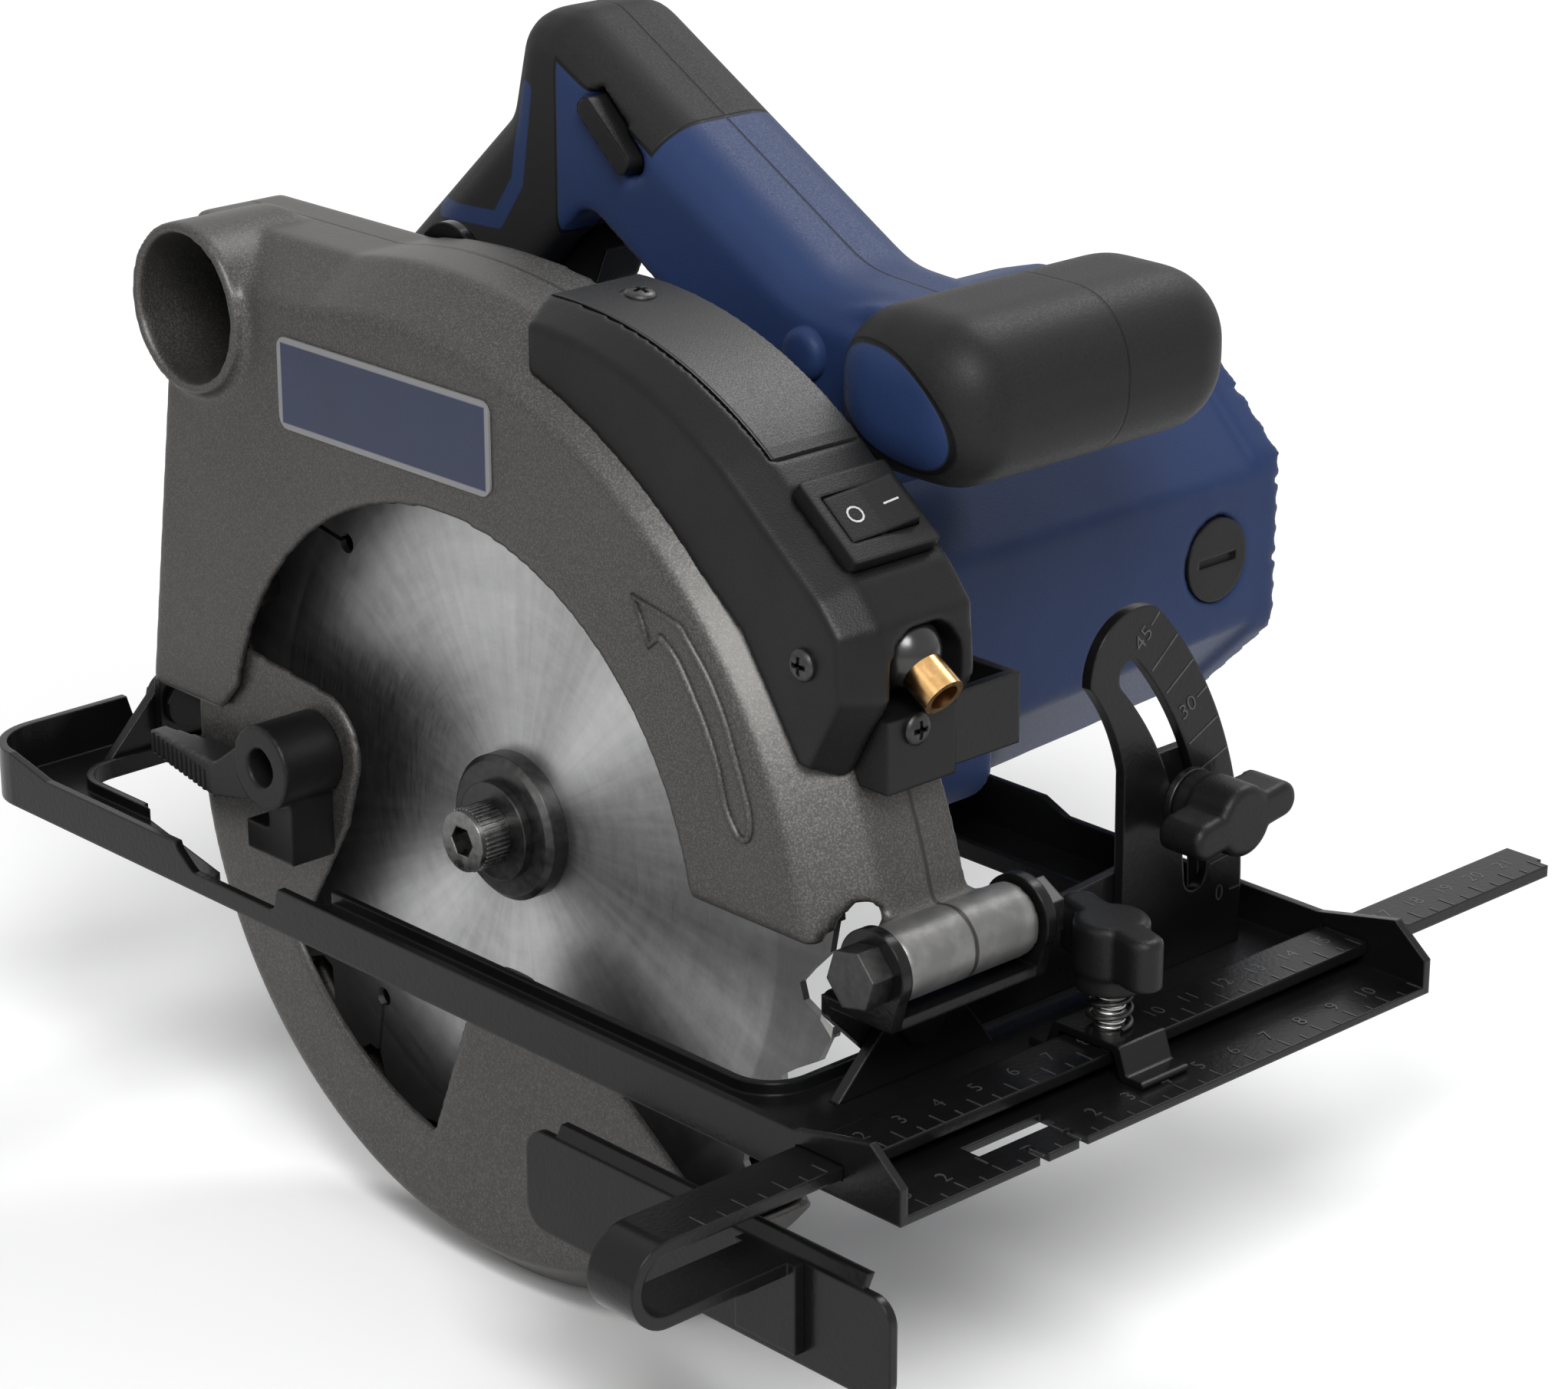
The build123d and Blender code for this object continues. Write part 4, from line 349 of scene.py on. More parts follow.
def soften(name, body, slot, made, grid, rounds, *parts, inset=0.0):
    """Stand-in for moulded or cast nodes with their edges rounded, drawn in by inset."""
    parts = parts or (name,)
    welded = bmesh.new()
    for part in parts:
        welded.from_mesh(nodes[part].data)
    bmesh.ops.remove_doubles(welded, verts=welded.verts, dist=0.00001)
    copy = bpy.data.objects.new(name, as_mesh(name, welded))
    cells = copy.modifiers.new("cells", "REMESH")
    cells.mode = "VOXEL"
    cells.voxel_size = grid
    ease = copy.modifiers.new("ease", "SMOOTH")
    ease.factor = 0.5
    ease.iterations = rounds
    draw_in = copy.modifiers.new("draw_in", "DISPLACE")
    draw_in.strength = -inset
    draw_in.mid_level = 0.0
    piece = place(name + "_soft", worked_out(copy), body, made, smooth=True)
    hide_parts(*parts)


soften("fence_knob", "fence_clamp", "black_plastic", plastic, 0.0004, 6)
wear(steel, "fence_screw")
wear(black_steel, "fence_spring")


def screw_thread(name, turns, radius, height, wire):
    """Helical ridge of a screw, from z = 0 up."""
    ridge = Pattern(name)
    helix = ridge.part(
        "GeometryNodeCurveSpiral",
        {
            "Resolution": 24,
            "Rotations": ridge.size("Turns", turns),
            "Start Radius": ridge.size("Radius", radius),
            "End Radius": radius,
            "Height": ridge.size("Height", height),
        },
    )
    ring = ridge.part("GeometryNodeCurvePrimitiveCircle", {"Resolution": 6, "Radius": wire})
    tube = ridge.part("GeometryNodeCurveToMesh", {"Curve": helix, "Profile Curve": ring, "Fill Caps": True})
    return ridge.mesh(tube, steel)


screw_low, screw_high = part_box("fence_screw")
thread = screw_thread("fence_thread", 8.0, 0.0028, 0.008, 0.00045)
thread_foot = ((screw_low.x + screw_high.x) / 2, (screw_low.y + screw_high.y) / 2, screw_low.z + 0.0022)
thread.transform(Matrix.Translation(thread_foot))
place("fence_thread", thread, "fence_clamp", smooth=True)


# Bevel quadrant and clamp: the quadrant is stamped with ticks every five degrees
# and with figures every fifteen, read out from the pivot. The winged knob is moulded.
pivot = Vector((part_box("bevel_quadrant")[1].x, 0.0083, 0.014))


def dial_ticks(name, count, step, inner, outer, skip):
    """Radial ticks about X from the pivot; every skip-th one is left short for its figure."""
    dial = Pattern(name)
    bar = dial.part("GeometryNodeMeshCube", {"Size": (0.00024, 1.0, 0.0004)})
    bar = dial.part("GeometryNodeTransform", {0: bar, "Translation": (0.0, -0.5, 0.0)})
    index = dial.part("GeometryNodeInputIndex", {})
    angle = dial.part("ShaderNodeMath", {0: index, 1: dial.size("Step", step)}, operation="MULTIPLY")
    turned = dial.part("ShaderNodeCombineXYZ", {0: angle, 1: 0.0, 2: 0.0})
    edge = dial.size("Outer", outer)
    spot = dial.part("ShaderNodeVectorRotate", {"Vector": (0.0, 1.0, 0.0), "Angle": angle}, rotation_type="X_AXIS")
    spot = dial.part("ShaderNodeVectorMath", {0: spot, "Scale": edge}, operation="SCALE")
    line = dial.part("GeometryNodeMeshLine", {"Count": dial.size("Count", count), "Offset": (0.0, 0.0, 0.0)})
    line = dial.part("GeometryNodeSetPosition", {0: line, "Position": spot})
    beat = dial.part("ShaderNodeMath", {0: index, 1: float(skip)}, operation="MODULO")
    plain = dial.part("ShaderNodeMath", {0: beat, 1: 0.5}, operation="GREATER_THAN")
    span = outer - inner
    length = dial.part("ShaderNodeMath", {0: plain, 1: span * 0.65, 2: span * 0.35}, operation="MULTIPLY_ADD")
    stretch = dial.part("ShaderNodeCombineXYZ", {0: 1.0, 1: length, 2: 1.0})
    ticks = dial.part(
        "GeometryNodeInstanceOnPoints", {"Points": line, "Instance": bar, "Rotation": turned, "Scale": stretch}
    )
    return dial.mesh(ticks, mark_highlight)


dial = dial_ticks("bevel_ticks", 10, math.radians(5.0), 0.0838, 0.0932, 3)
dial.transform(Matrix.Translation(pivot))
place("bevel_ticks", dial, "shoe")
upright = Matrix(((0, 0, 1, 0), (1, 0, 0, 0), (0, 1, 0, 0), (0, 0, 0, 1)))
degrees = []
for k in (0, 15, 30, 45):
    outward = Matrix.Rotation(math.radians(k), 4, "X")
    spot = pivot + outward @ Vector((0.0, 0.0868, 0.0))
    degrees.append((str(k), Matrix.Translation(spot) @ outward @ upright))
place("bevel_figures", figures(degrees, 0.0036, stamp_deep), "shoe", mark_highlight)
soften("bevel_knob", "bevel_knob", "black_plastic", plastic, 0.0004, 6)
wear(black_steel, "bevel_stud")


# Tilting bracket: stamped ears, web and arm, the depth rail with its clamp lever,
# and the dark bolt through the bright barrel of the guard.
wear(paint, "tilt_bracket", "depth_rail", "pivot_rivets")
wear(black_steel, "hinge_bolt", "depth_stud")
wear(plastic, "depth_lever")


# Guards: two-part casting under a grey-bronze lacquer with a fine metallic sparkle,
# bare and bright round the hinge barrel. The swinging lower guard is finished alike.
hinge_x, hinge_z = 0.1155, 0.0315
seam_y = 0.0084


def cast_lacquer(where):
    fleck = where.noise(2400.0, 2.0, 0.6)
    cloud = where.noise(20.0, 3.0)
    pit = where.noise(700.0, 3.0)
    edge = where.node("Bevel", 0.0008, samples=4)
    x = where.axis("X") - hinge_x
    z = where.axis("Z") - hinge_z
    barrel = ((x * x + z * z) ** 0.5).step(0.0079, 0.0076)
    # Painted shade: a dark line along the seam between the two castings stands in for the shade in its groove; the
    # same mask also cuts the groove as a bump.
    seam_shade = (where.axis("Y") - seam_y).maths("ABSOLUTE").step(0.0003, 0.0007)
    scuff = where.noise(160.0, 4.0).step(0.45, 0.7)
    base = cloud.step(0.3, 0.7).mix((0.047, 0.045, 0.043), (0.059, 0.0565, 0.054))
    base = fleck.step(0.45, 0.75).mix(base, (0.120, 0.116, 0.111))
    base = barrel.mix(base, scuff.mix((0.14, 0.139, 0.137), (0.21, 0.208, 0.205)))
    return {
        "Base_Color": seam_shade.mix((0.035, 0.032, 0.03), base),
        "Roughness": fleck.step(0.3, 0.7, 0.40, 0.52),
        "Normal": (pit * 0.3 + seam_shade).bump(0.3, 0.0005, edge),
    }


lacquer = material("cast_lacquer", cast_lacquer, Metallic=0.75)
soften("guard_shell", "saw", "cast_guard", lacquer, 0.0011, 5, "upper_guard", "guard_back")
soften("lower_guard", "lower_guard", "lower_cast", lacquer, 0.001, 4)
wear(lacquer, "guard_spring")


def bead(name, points, corners, radius):
    """Closed raised line through points, sharp at the named corners."""
    curve = bpy.data.curves.new(name, "CURVE")
    curve.dimensions = "3D"
    curve.bevel_depth = radius
    curve.bevel_resolution = 2
    curve.resolution_u = 8
    line = curve.splines.new("BEZIER")
    line.bezier_points.add(len(points) - 1)
    line.use_cyclic_u = True
    for k, (knot, spot) in enumerate(zip(line.bezier_points, points)):
        knot.co = spot
        kind = "VECTOR" if k in corners else "AUTO"
        knot.handle_left_type = kind
        knot.handle_right_type = kind
    return worked_out(bpy.data.objects.new(name, curve))


guard_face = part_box("upper_guard")[0].y + 0.0035
arrow = [
    (55.2, 91.6), (68.5, 88.6), (71.4, 85.4), (76.9, 79.2), (83.2, 67.0), (87.2, 51.6),
    (85.4, 50.6), (82.8, 52.4), (77.9, 65.2), (71.0, 76.8), (66.2, 82.8), (62.6, 85.2), (59.6, 82.6),
]
arrow = [Vector((x / 1000, guard_face, z / 1000)) for x, z in arrow]
arrow_corners = (0, 1, 2, 11, 12)
raised = bead("turn_arrow", arrow, arrow_corners, 0.0008)
place("turn_arrow", raised, "saw", lacquer, smooth=True)


def rounded_panel(x0, x1, z0, z1, corner, y0, y1):
    """Flat plate with round corners, standing in XZ between y0 and y1."""
    panel = bmesh.new()
    ring = []
    right, left, high, low = x1 - corner, x0 + corner, z1 - corner, z0 + corner
    for cx, cz, first in ((right, high, 0), (left, high, 90), (left, low, 180), (right, low, 270)):
        for k in range(7):
            a = math.radians(first + 15 * k)
            ring.append(panel.verts.new((cx + corner * math.cos(a), y0, cz + corner * math.sin(a))))
    front = panel.faces.new(ring)
    grown = bmesh.ops.extrude_face_region(panel, geom=[front])["geom"]
    back_ring = [v for v in grown if isinstance(v, bmesh.types.BMVert)]
    bmesh.ops.translate(panel, verts=back_ring, vec=(0.0, y1 - y0, 0.0))
    bmesh.ops.recalc_face_normals(panel, faces=panel.faces)
    return as_mesh("panel", panel)


plate_x, plate_z = -0.0203, 0.111
film_x, film_z = 0.0325, 0.0084
plate_rim = 0.0014


def plate_film(where):
    x = (where.axis("X") - plate_x).maths("ABSOLUTE") - film_x
    z = (where.axis("Z") - plate_z).maths("ABSOLUTE") - film_z
    rim = x.maths("MAXIMUM", z).step(0.0, 0.0003)
    cloud = where.noise(60.0, 2.0)
    film = cloud.step(0.3, 0.7).mix((0.008, 0.014, 0.040), (0.010, 0.017, 0.047))
    return {"Base_Color": rim.mix(film, (0.16, 0.16, 0.165)), "Roughness": cloud.step(0.3, 0.7, 0.22, 0.3)}


film = material("plate_film", plate_film, Specular_IOR_Level=0.4)
half_x = film_x + plate_rim
half_z = film_z + plate_rim
plate_sides = plate_x - half_x, plate_x + half_x, plate_z - half_z, plate_z + half_z
blank = rounded_panel(*plate_sides, 0.0026, guard_face + 0.0003, guard_face - 0.0005)
place("blank_plate", blank, "saw", film)


# Guard lever: moulded black lever with a hollow boss, a thumb paddle and a hook.
# It rides with the lower guard, and a row of small bars ribs the paddle.
soften("guard_lever", "lower_guard", "black_plastic", plastic, 0.0005, 5)


def grip_ribs(name, count, start, pitch, size):
    """Row of upright ribs along X."""
    row = Pattern(name)
    rib = row.part("GeometryNodeMeshCube", {"Size": row.size("Rib", size)})
    line = row.part(
        "GeometryNodeMeshLine",
        {"Count": row.size("Count", count), "Start Location": start, "Offset": (pitch, 0.0, 0.0)},
    )
    return row.mesh(row.part("GeometryNodeInstanceOnPoints", {"Points": line, "Instance": rib}), plastic)


ribs = grip_ribs("paddle_ribs", 12, (0.0, 0.0, 0.0), 0.0024, (0.0011, 0.0012, 0.0046))
slant = Matrix.Rotation(math.atan2(-7.5, 37.0), 4, "Z")
ribs.transform(Matrix.Translation((-0.0985, -0.0222, 0.0207)) @ slant)
place("paddle_ribs", ribs, "lower_guard")


# Blade: ground steel with turning marks and painted highlight fans about the arbor, a matt outer band
# and hard-metal tips, held by a black flange, a washer and a knurled socket screw.
arbor_z = 0.0245


def ground_steel(where):
    x = where.axis("X")
    z = where.axis("Z") - arbor_z
    r = (x * x + z * z) ** 0.5
    angle = z.maths("ARCTAN2", x)
    ring = x.node("CombineXYZ", r * 2500.0, angle * 6.0, 0.0).noise(1.0, 3.0)
    broad = x.node("CombineXYZ", r * 300.0, angle * 1.5, 0.0).noise(1.0, 2.0)
    streak = x.node("CombineXYZ", r * 20.0, angle * 16.0, 0.0).noise(1.0, 3.0)
    # Painted highlight: fan brightens the colour in two lobes at fixed angles about the arbor, where turned steel
    # catches the lamps. The radial streaks are partly grinding marks and partly painted highlight; broad and scratch
    # are grinding marks.
    fan = (angle - 1.72).maths("COSINE") ** 4.0 * 0.6 + (angle - 0.78).maths("COSINE") ** 30.0 * 0.65
    scratch = where.noise(220.0, 4.0, 0.7)
    band = r.step(0.0775, 0.0785)
    grind_and_highlight = fan * 0.8 + streak.step(0.25, 0.75) * 0.16 + broad.step(0.25, 0.75) * 0.08 + scratch.step(0.3, 0.7) * 0.12
    grind_and_highlight = (grind_and_highlight + 0.06) * (1.0 - band * 0.45)
    return {
        "Base_Color": grind_and_highlight.mix((0.10, 0.10, 0.101), (0.56, 0.56, 0.565)),
        "Roughness": band * 0.1 + ring.step(0.3, 0.7, 0.38, 0.48),
        "Normal": ring.bump(0.06, 0.0001),
    }


wear(material("ground_steel", ground_steel, Metallic=1.0), "saw_blade")
wear(steel, "tooth_tips")
wear(black_steel, "outer_flange", "bolt_washer")


def oiled_steel(where):
    cloud = where.noise(500.0, 3.0)
    return {
        "Base_Color": cloud.step(0.3, 0.7).mix((0.11, 0.11, 0.108), (0.2, 0.2, 0.196)),
        "Roughness": cloud.step(0.3, 0.7, 0.22, 0.36),
        "Normal": cloud.bump(0.05, 0.0003, where.node("Bevel", 0.0005, samples=4)),
    }


bolt_steel = material("oiled_steel", oiled_steel, Metallic=1.0)
wear(bolt_steel, "blade_bolt")
wear(steel, "inner_flange", "spindle", "drive_gear", "bearings")


def knurl(name, count, radius, size):
    """Straight knurl: ridges on a circle about Y."""
    wheel = Pattern(name)
    ridge = wheel.part("GeometryNodeMeshCube", {"Size": wheel.size("Ridge", size)})
    ring = wheel.part(
        "GeometryNodeMeshCircle", {"Vertices": wheel.size("Count", count), "Radius": wheel.size("Radius", radius)}
    )
    index = wheel.part("GeometryNodeInputIndex", {})
    angle = wheel.part("ShaderNodeMath", {0: index, 1: 2 * math.pi / count}, operation="MULTIPLY")
    turned = wheel.part("ShaderNodeCombineXYZ", {0: 0.0, 1: 0.0, 2: angle})
    ridges = wheel.part("GeometryNodeInstanceOnPoints", {"Points": ring, "Instance": ridge, "Rotation": turned})
    return wheel.mesh(ridges, bolt_steel)


head_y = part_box("blade_bolt")[0].y
ridges = knurl("bolt_knurl", 40, 0.0065, (0.0006, 0.0006, 0.006))
lying = Matrix.Rotation(math.radians(90.0), 4, "X")
ridges.transform(Matrix.Translation((0.0, head_y + 0.0042, arbor_z)) @ lying)
place("bolt_knurl", ridges, "blade")


# Motor and gear case: navy moulded housing with a fine texture and a ribbed end,
# black brush caps, and the wound armature, stator and brushes inside it.
navy_tones = (0.0125, 0.0255, 0.076), (0.0145, 0.0295, 0.086)


def navy_plastic(where):
    grain = where.noise(2200.0, 2.0)
    cloud = where.noise(40.0, 2.0)
    return {
        "Base_Color": cloud.step(0.3, 0.7).mix(*navy_tones),
        "Roughness": grain.step(0.3, 0.7, 0.42, 0.54),
        "Normal": grain.bump(0.2, 0.00025, where.node("Bevel", 0.0012, samples=4)),
    }


navy = material("navy_plastic", navy_plastic, Specular_IOR_Level=0.14)
soften("motor_shell", "saw", "body_plastic", navy, 0.0012, 5, "motor_housing", "motor_end_cap")
wear(lacquer, "gear_case")
wear(plastic, "brush_caps", "brush_holders", "fan")


def laminations(where):
    sheets = (where.axis("Y") * 9000.0).maths("SINE")
    return {
        "Base_Color": sheets.step(-1.0, 1.0).mix((0.10, 0.10, 0.10), (0.2, 0.2, 0.2)),
        "Roughness": sheets.step(-1.0, 1.0, 0.4, 0.55),
    }


wear(material("laminations", laminations, Metallic=0.9), "stator", "armature_core")


motor_x, motor_z = 0.008, 0.0573


def copper_bars(where):
    x = where.axis("X") - motor_x
    z = where.axis("Z") - motor_z
    bars = (z.maths("ARCTAN2", x) * 24.0).maths("SINE")
    return {"Base_Color": bars.step(-0.95, -0.8).mix((0.05, 0.03, 0.02), (0.55, 0.25, 0.14))}


wear(material("copper_bars", copper_bars, Metallic=1.0, Roughness=0.3), "commutator")
wear(steel, "motor_shaft")
wear(plastic, "brushes")


# Handle: navy shell in two halves with a parting line, under a black soft skin that
# caps the apex and sleeves the rear leg. A navy stripe shows through on each flank.
handle_y = 0.058
soft_tones = (0.007, 0.007, 0.0074), (0.011, 0.011, 0.0114)


def handle_skin(where):
    grain = where.noise(2000.0, 2.0)
    cloud = where.noise(40.0, 2.0)
    x = where.axis("X")
    z = where.axis("Z")
    off_middle = (where.axis("Y") - handle_y).maths("ABSOLUTE")
    ahead = (x + 0.0009) * 0.87 - (z - 0.1621) * 0.493
    under = (x + 0.028) * -0.467 - (z - 0.1705) * 0.884
    flank = under.maths("MINIMUM", x + 0.0325).maths("MINIMUM", off_middle - 0.008)
    low = (x + 0.035) * 0.595 - (z - 0.120) * 0.803
    bare = ahead.maths("MAXIMUM", flank).maths("MAXIMUM", low)

    def from_line(x0, z0, x1, z1):
        """Distance from the line between two points of the side view."""
        long = (x1 - x0) ** 2 + (z1 - z0) ** 2
        share = (((x - x0) * (x1 - x0) + (z - z0) * (z1 - z0)) / long).maths("MAXIMUM", 0.0).maths("MINIMUM", 1.0)
        dx = x - x0 - share * (x1 - x0)
        dz = z - z0 - share * (z1 - z0)
        return (dx * dx + dz * dz) ** 0.5

    stripe = from_line(-0.0420, 0.1650, -0.0452, 0.1450)
    stripe = stripe.maths("MINIMUM", from_line(-0.0452, 0.1450, -0.0520, 0.1355))
    stripe = stripe.maths("MINIMUM", from_line(-0.0520, 0.1355, -0.0720, 0.1345))
    stripe = stripe.step(0.0021, 0.0017) * off_middle.step(0.0085, 0.0095)
    navy_part = bare.step(0.0, 0.0002).maths("MAXIMUM", stripe)
    # Painted shade: a near-black line along the parting plane of the halves and round the edge of the black skin
    # stands in for the shade in those grooves, which the bump also cuts.
    seam_shade = off_middle.step(0.0001, 0.0004) * bare.maths("ABSOLUTE").step(0.0002, 0.0006)
    blue = cloud.step(0.3, 0.7).mix(*navy_tones)
    black = grain.step(0.3, 0.7).mix(*soft_tones)
    return {
        "Base_Color": seam_shade.mix((0.002, 0.002, 0.003), navy_part.mix(black, blue)),
        "Roughness": grain.step(0.3, 0.7, 0.44, 0.56) + (1.0 - navy_part) * 0.06,
        "Normal": (grain * 0.25 + seam_shade).bump(0.4, 0.0004),
    }


skin = material("handle_skin", handle_skin, Specular_IOR_Level=0.16)
soften("handle_shell", "saw", "body_plastic", skin, 0.0011, 10, "handle_left", "handle_right", "top_cap", "rear_grip")
soften("trigger", "trigger", "black_plastic", plastic, 0.0007, 5, inset=0.0009)
soften("lock_off_button", "lock_off", "black_plastic", plastic, 0.0004, 6, inset=0.0006)
wear(plastic, "switch_block", "cable_inlet")


# Front grip: soft black sleeve over a navy core that shows at the blade-side end,
# with a fine parting ring round it. A small navy boss stands beside it.
def soft_grip(where):
    grain = where.noise(1800.0, 2.0)
    y = where.axis("Y")
    x = where.axis("X") - 0.0795
    z = where.axis("Z") - 0.1250
    along = (x * 0.906 - z * 0.423) / 0.0165
    across = (x * 0.423 + z * 0.906) / 0.0102
    oval = (along * along + across * across) ** 0.5
    inset = oval.step(1.02, 0.99) * y.step(0.046, 0.045)
    lip = (oval - 1.0).maths("ABSOLUTE").step(0.02, 0.06).maths("MAXIMUM", y.step(0.045, 0.046))
    # Painted shade: the near-black ring at the parting line stands in for the shade in its groove, which the bump
    # also cuts.
    line = (y - 0.070).maths("ABSOLUTE").step(0.0002, 0.0005) * lip
    black = grain.step(0.3, 0.7).mix(*soft_tones)
    return {
        "Base_Color": line.mix((0.002, 0.002, 0.002), inset.mix(black, (0.0135, 0.0275, 0.080))),
        "Roughness": grain.step(0.3, 0.7, 0.46, 0.58),
        "Normal": (grain * 0.25 + line).bump(0.4, 0.0005),
    }


sleeve = material("soft_grip", soft_grip, Specular_IOR_Level=0.16)
soften("front_grip", "saw", "grip_rubber", sleeve, 0.0013, 8)


def dome(radius, deep):
    """Round boss along -Y with an eased rim, from y = 0."""
    boss = bmesh.new()
    sides = 32
    rings = []
    for share, y in ((1.0, 0.0), (1.0, 0.6), (0.94, 0.82), (0.8, 0.95), (0.55, 1.0)):
        turns = [2 * math.pi * k / sides for k in range(sides)]
        r = radius * share
        rings.append([boss.verts.new((r * math.cos(a), -deep * y, r * math.sin(a))) for a in turns])
    for low, high in zip(rings, rings[1:]):
        for k in range(sides):
            boss.faces.new((low[k], low[k - 1], high[k - 1], high[k]))
    boss.faces.new(rings[-1])
    boss.faces.new(rings[0])
    bmesh.ops.recalc_face_normals(boss, faces=boss.faces)
    return as_mesh("boss", boss)


boss = dome(0.0056, 0.0065)
boss.transform(Matrix.Translation((0.043, 0.0435, 0.1258)))
place("shell_boss", boss, "saw", navy, smooth=True)


# Laser guide: black moulded housing on the guard's shoulder with an arched mouth,
# a ball joint with a brass tube, a rocker switch marked O and I, and crosshead screws.
soften("laser_housing", "saw", "black_plastic", plastic, 0.0008, 5)
wear(plastic, "rocker_frame", "laser_rocker", "laser_clamp")
cover_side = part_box("laser_cover")[0].y


def cover_plastic(where):
    grain = where.noise(2600.0, 2.0)
    # Painted shade: within a fraction of a millimetre of its -Y side the cover is near-black, standing in for the
    # shade where it meets the housing.
    line = (where.axis("Y") - cover_side).step(0.0003, 0.0007)
    return {
        "Base_Color": line.mix((0.001, 0.001, 0.001), (0.006, 0.006, 0.0063)),
        "Roughness": grain.step(0.3, 0.7, 0.36, 0.5),
        "Normal": (grain * 0.3 + line).bump(0.3, 0.0005),
    }


wear(material("cover_plastic", cover_plastic, Specular_IOR_Level=0.28), "laser_cover")
wear(paint, "laser_bracket")


def gloss_black(where):
    cloud = where.noise(200.0, 2.0)
    return {
        "Base_Color": cloud.step(0.3, 0.7).mix((0.006, 0.006, 0.006), (0.009, 0.009, 0.009)),
        "Roughness": cloud.step(0.3, 0.7, 0.2, 0.3),
    }


gloss = material("gloss_black", gloss_black, Specular_IOR_Level=0.5)
wear(gloss, "laser_seat")


def turned_brass(where):
    marks = where.noise(700.0, 2.0)
    return {
        "Base_Color": marks.step(0.3, 0.7).mix((0.62, 0.36, 0.14), (0.70, 0.43, 0.19)),
        "Roughness": marks.step(0.3, 0.7, 0.2, 0.26),
    }


wear(material("turned_brass", turned_brass, Metallic=1.0), "laser_tube")


def white_ink(where):
    return {"Base_Color": where.noise(900.0).step(0.3, 0.7).mix((0.36, 0.36, 0.36), (0.46, 0.46, 0.46))}


ink = material("white_ink", white_ink, Roughness=0.5)
slope = math.radians(38.0)
down = Vector((math.cos(slope), 0.0, -math.sin(slope)))
out = Vector((math.sin(slope), 0.0, math.cos(slope)))
rocker_middle = Vector((0.095, 0.006, 0.112))


def on_rocker(across, height, lean):
    """Place on the rocker's face, with the figure's top towards the motor side."""
    tilt = Matrix.Rotation(lean, 3, down)
    side = tilt @ Vector((0.0, 1.0, 0.0))
    face = tilt @ out
    spot = rocker_middle + Vector((0.0, across, 0.0)) + out * height
    return Matrix.Translation(spot) @ Matrix((down, side, face)).transposed().to_4x4()


figures_on = [
    ("O", on_rocker(-0.0042, 0.00135, math.atan2(0.9, 8.0))),
    ("I", on_rocker(0.0042, 0.00264, math.atan2(1.6, 8.0))),
]
place("rocker_marks", figures(figures_on, 0.0037, 0.0001), "laser_rocker", ink)


def crosshead_screws(name, spots, radius, height):
    """Pan heads with a cross recess, one at each spot along its own axis."""
    points = bpy.data.meshes.new(name)
    points.from_pydata([spot for spot, _ in spots], [], [])
    axis = points.attributes.new("axis", "FLOAT_VECTOR", "POINT")
    for k, (_, way) in enumerate(spots):
        axis.data[k].vector = way
    screws = Pattern(name, points)
    head = screws.part(
        "GeometryNodeMeshCylinder",
        {"Vertices": 32, "Radius": screws.size("Radius", radius), "Depth": screws.size("Height", height)},
    )
    crown = screws.part("GeometryNodeMeshUVSphere", {"Segments": 32, "Rings": 12, "Radius": radius})
    flat = {0: crown, "Translation": (0.0, 0.0, height / 2), "Scale": (0.985, 0.985, 0.3)}
    crown = screws.part("GeometryNodeTransform", flat)
    recess = screws.part("GeometryNodeMeshCube", {"Size": (radius * 1.15, radius * 0.3, radius * 1.3)})
    recess = screws.part("GeometryNodeTransform", {0: recess, "Translation": (0.0, 0.0, height / 2 + radius * 0.3)})
    turned = screws.part("GeometryNodeTransform", {0: recess, "Rotation": Euler((0.0, 0.0, math.pi / 2))})
    tool = screws.part("GeometryNodeMeshBoolean", {"Mesh": recess}, operation="UNION")
    screws.group.links.new(turned, tool.node.inputs["Mesh 2"])
    solid = screws.part("GeometryNodeMeshBoolean", {"Mesh 1": head}, operation="DIFFERENCE")
    screws.group.links.new(tool, solid.node.inputs["Mesh 2"])
    shaped = screws.part("GeometryNodeMeshBoolean", {"Mesh 1": crown}, operation="DIFFERENCE")
    screws.group.links.new(tool, shaped.node.inputs["Mesh 2"])
    both = screws.part("GeometryNodeJoinGeometry", {0: solid})
    screws.group.links.new(shaped, both.node.inputs[0])
    way = screws.part("GeometryNodeInputNamedAttribute", {"Name": "axis"}, data_type="FLOAT_VECTOR")
    aim = screws.part("FunctionNodeAlignRotationToVector", {"Vector": way}, axis="Z")
    given = screws.entry.outputs[0]
    made = screws.part("GeometryNodeInstanceOnPoints", {"Points": given, "Instance": both, "Rotation": aim})
    return screws.mesh(made, black_steel)


cover_screw = Vector((0.0290, 0.0087, 0.1404))
screw_spots = [
    (cover_screw, (0.13, 0.0, 0.99)),
    ((0.0978, -0.0131, 0.0878), (0.0, -1.0, 0.0)),
    ((0.1101, 0.0042, 0.0742), (1.0, 0.0, 0.0)),
]
well = dome(0.0046, 0.0006)
leaning = Matrix.Rotation(math.radians(7.5), 4, "Y") @ Matrix.Rotation(math.radians(-90.0), 4, "X")
well.transform(Matrix.Translation(cover_screw - Vector((0.0, 0.0, 0.0004))) @ leaning)
place("screw_well", well, "saw", gloss, smooth=True)
place("laser_screws", crosshead_screws("laser_screws", screw_spots, 0.0032, 0.0012), "saw")


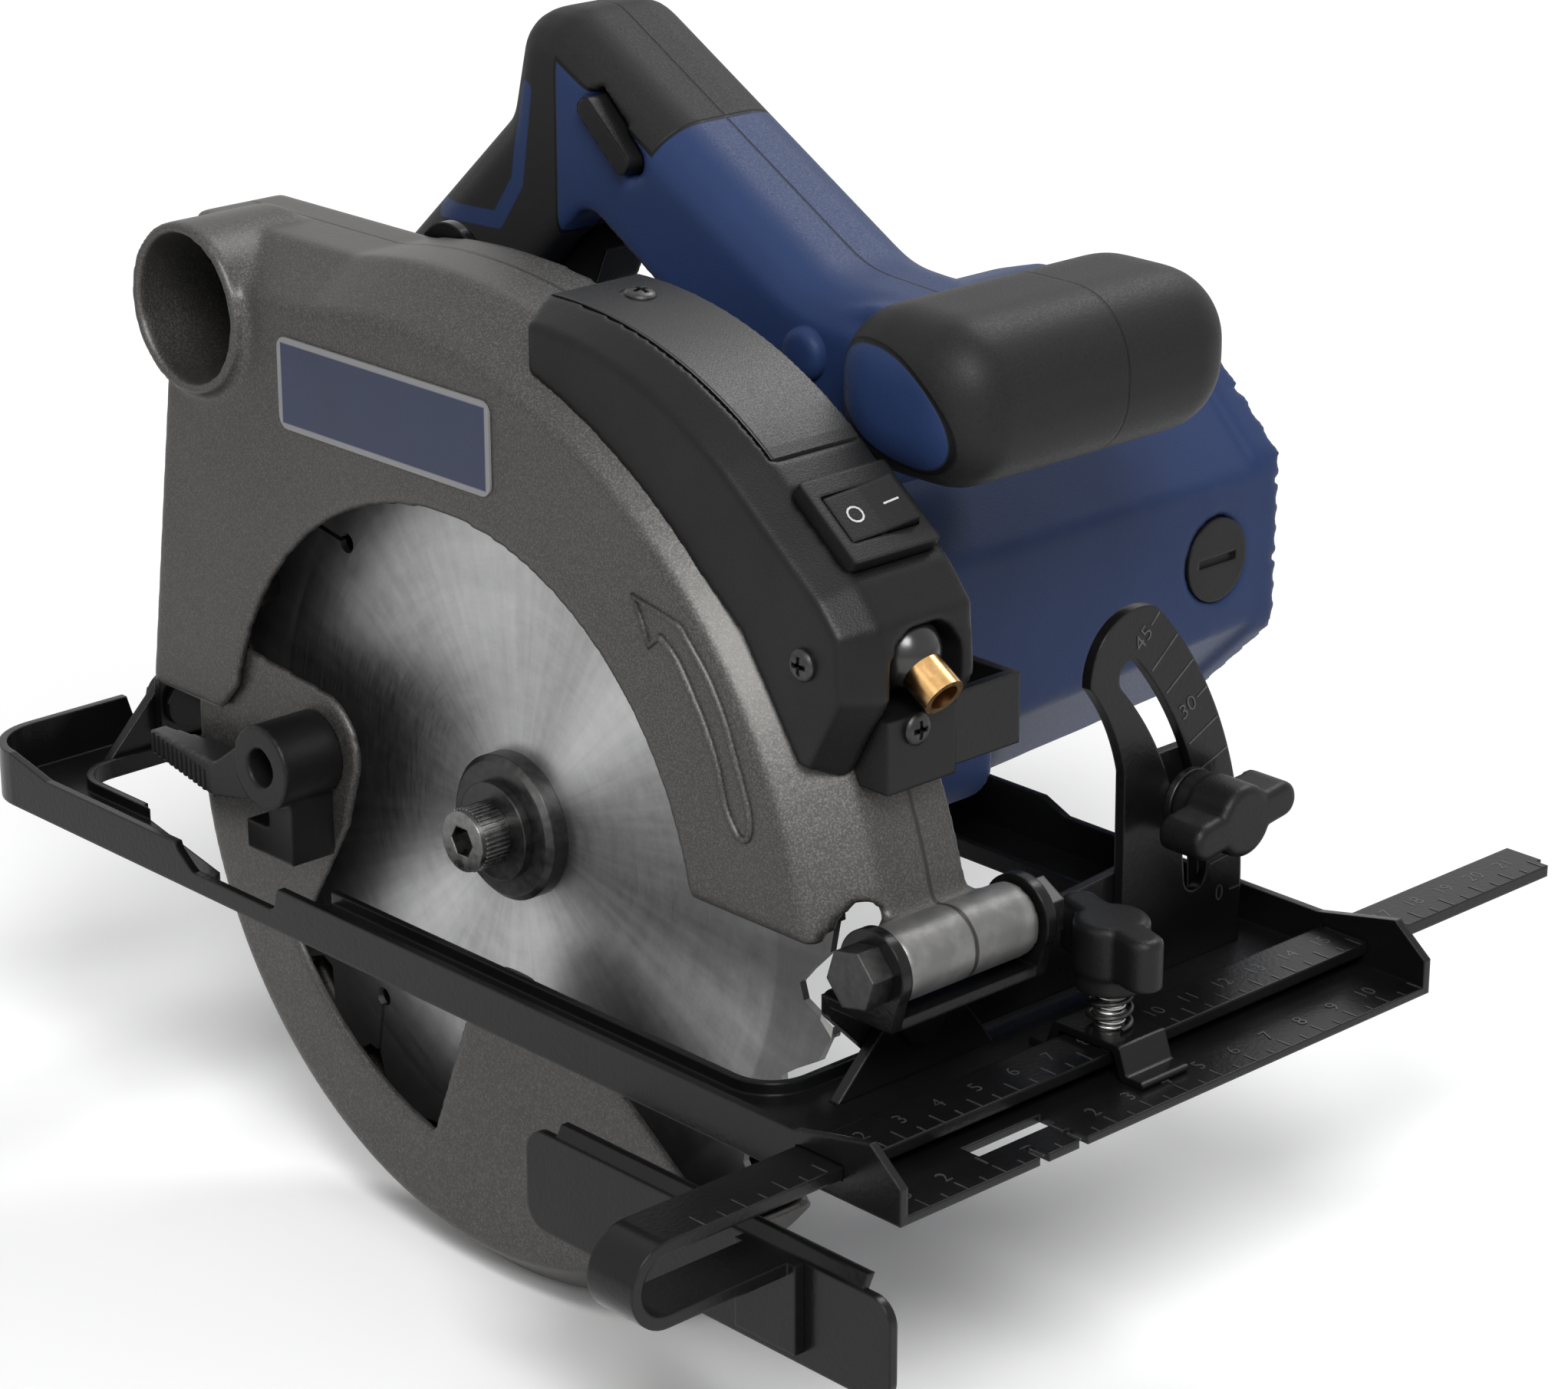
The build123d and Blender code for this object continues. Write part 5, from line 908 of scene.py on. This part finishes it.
# Studio: pale floor that turns white away from the object, white surround,
# three soft lamps, and the camera that was fitted to the photo.
floor_mesh = bpy.data.meshes.new("floor")
reach = 4.0
floor_z = cad_box[0].z - 0.0005
floor_mesh.from_pydata(
    [(-reach, -reach, floor_z), (reach, -reach, floor_z), (reach, reach, floor_z), (-reach, reach, floor_z)],
    [],
    [(0, 1, 2, 3)],
)
floor = bpy.data.objects.new("floor", floor_mesh)
bpy.context.scene.collection.objects.link(floor)


def pale(where):
    far = where.node("VectorMath", where, operation="LENGTH", pick=1).step(0.25, 0.6)
    white = far * where.node("LightPath")
    return {
        "Base_Color": white.mix((0.94, 0.94, 0.94), (0.0, 0.0, 0.0)),
        "Emission_Color": white.mix((0.0, 0.0, 0.0), (1.0, 1.0, 1.0)),
    }


floor_mesh.materials.append(material("pale_floor", pale, Roughness=0.9, Emission_Strength=1.0))

world = bpy.data.worlds.new("surround")
bpy.context.scene.world = world
world.use_nodes = True
tree = world.node_tree
backdrop = tree.nodes["Background"]
backdrop.inputs["Color"].default_value = (1.0, 1.0, 1.0, 1.0)
path = tree.nodes.new("ShaderNodeLightPath")
seen = Sock(tree, path.outputs["Is Camera Ray"]) + Sock(tree, path.outputs["Is Glossy Ray"])
seen = seen + Sock(tree, path.outputs["Is Transmission Ray"])
tree.links.new(seen.step(0.0, 1.0, 0.34, 1.0).out, backdrop.inputs["Strength"])

target = Vector((0.02, 0.04, 0.05))
for name, place_at, power, size in (
    ("key", (0.87, -0.6, 1.02), 22.0, 0.55),
    ("side", (0.3, -1.3, 0.7), 2.6, 0.9),
    ("rear", (-0.15, 1.05, 1.25), 10.0, 0.6),
):
    lamp = bpy.data.lights.new(name, "AREA")
    lamp.energy = power
    lamp.size = size
    holder = bpy.data.objects.new(name, lamp)
    bpy.context.scene.collection.objects.link(holder)
    holder.location = place_at
    holder.rotation_euler = (target - Vector(place_at)).to_track_quat("-Z", "Y").to_euler()

azimuth = math.radians(46.686)
elevation = math.radians(20.236)
right = Vector((math.cos(azimuth), math.sin(azimuth), 0.0))
level = Vector((math.sin(azimuth), -math.cos(azimuth), 0.0))
back = level * math.cos(elevation) + Vector((0.0, 0.0, math.sin(elevation)))
up = back.cross(right)
lens = bpy.data.cameras.new("camera")
lens.lens = 99.40
lens.sensor_width = 36.0
camera = bpy.data.objects.new("camera", lens)
bpy.context.scene.collection.objects.link(camera)
turn = Matrix((right, up, back)).transposed().to_4x4()
camera.matrix_world = Matrix.Translation((0.6403, -0.5294, 0.3581)) @ turn
bpy.context.scene.camera = camera
bpy.context.scene.view_settings.view_transform = "Standard"
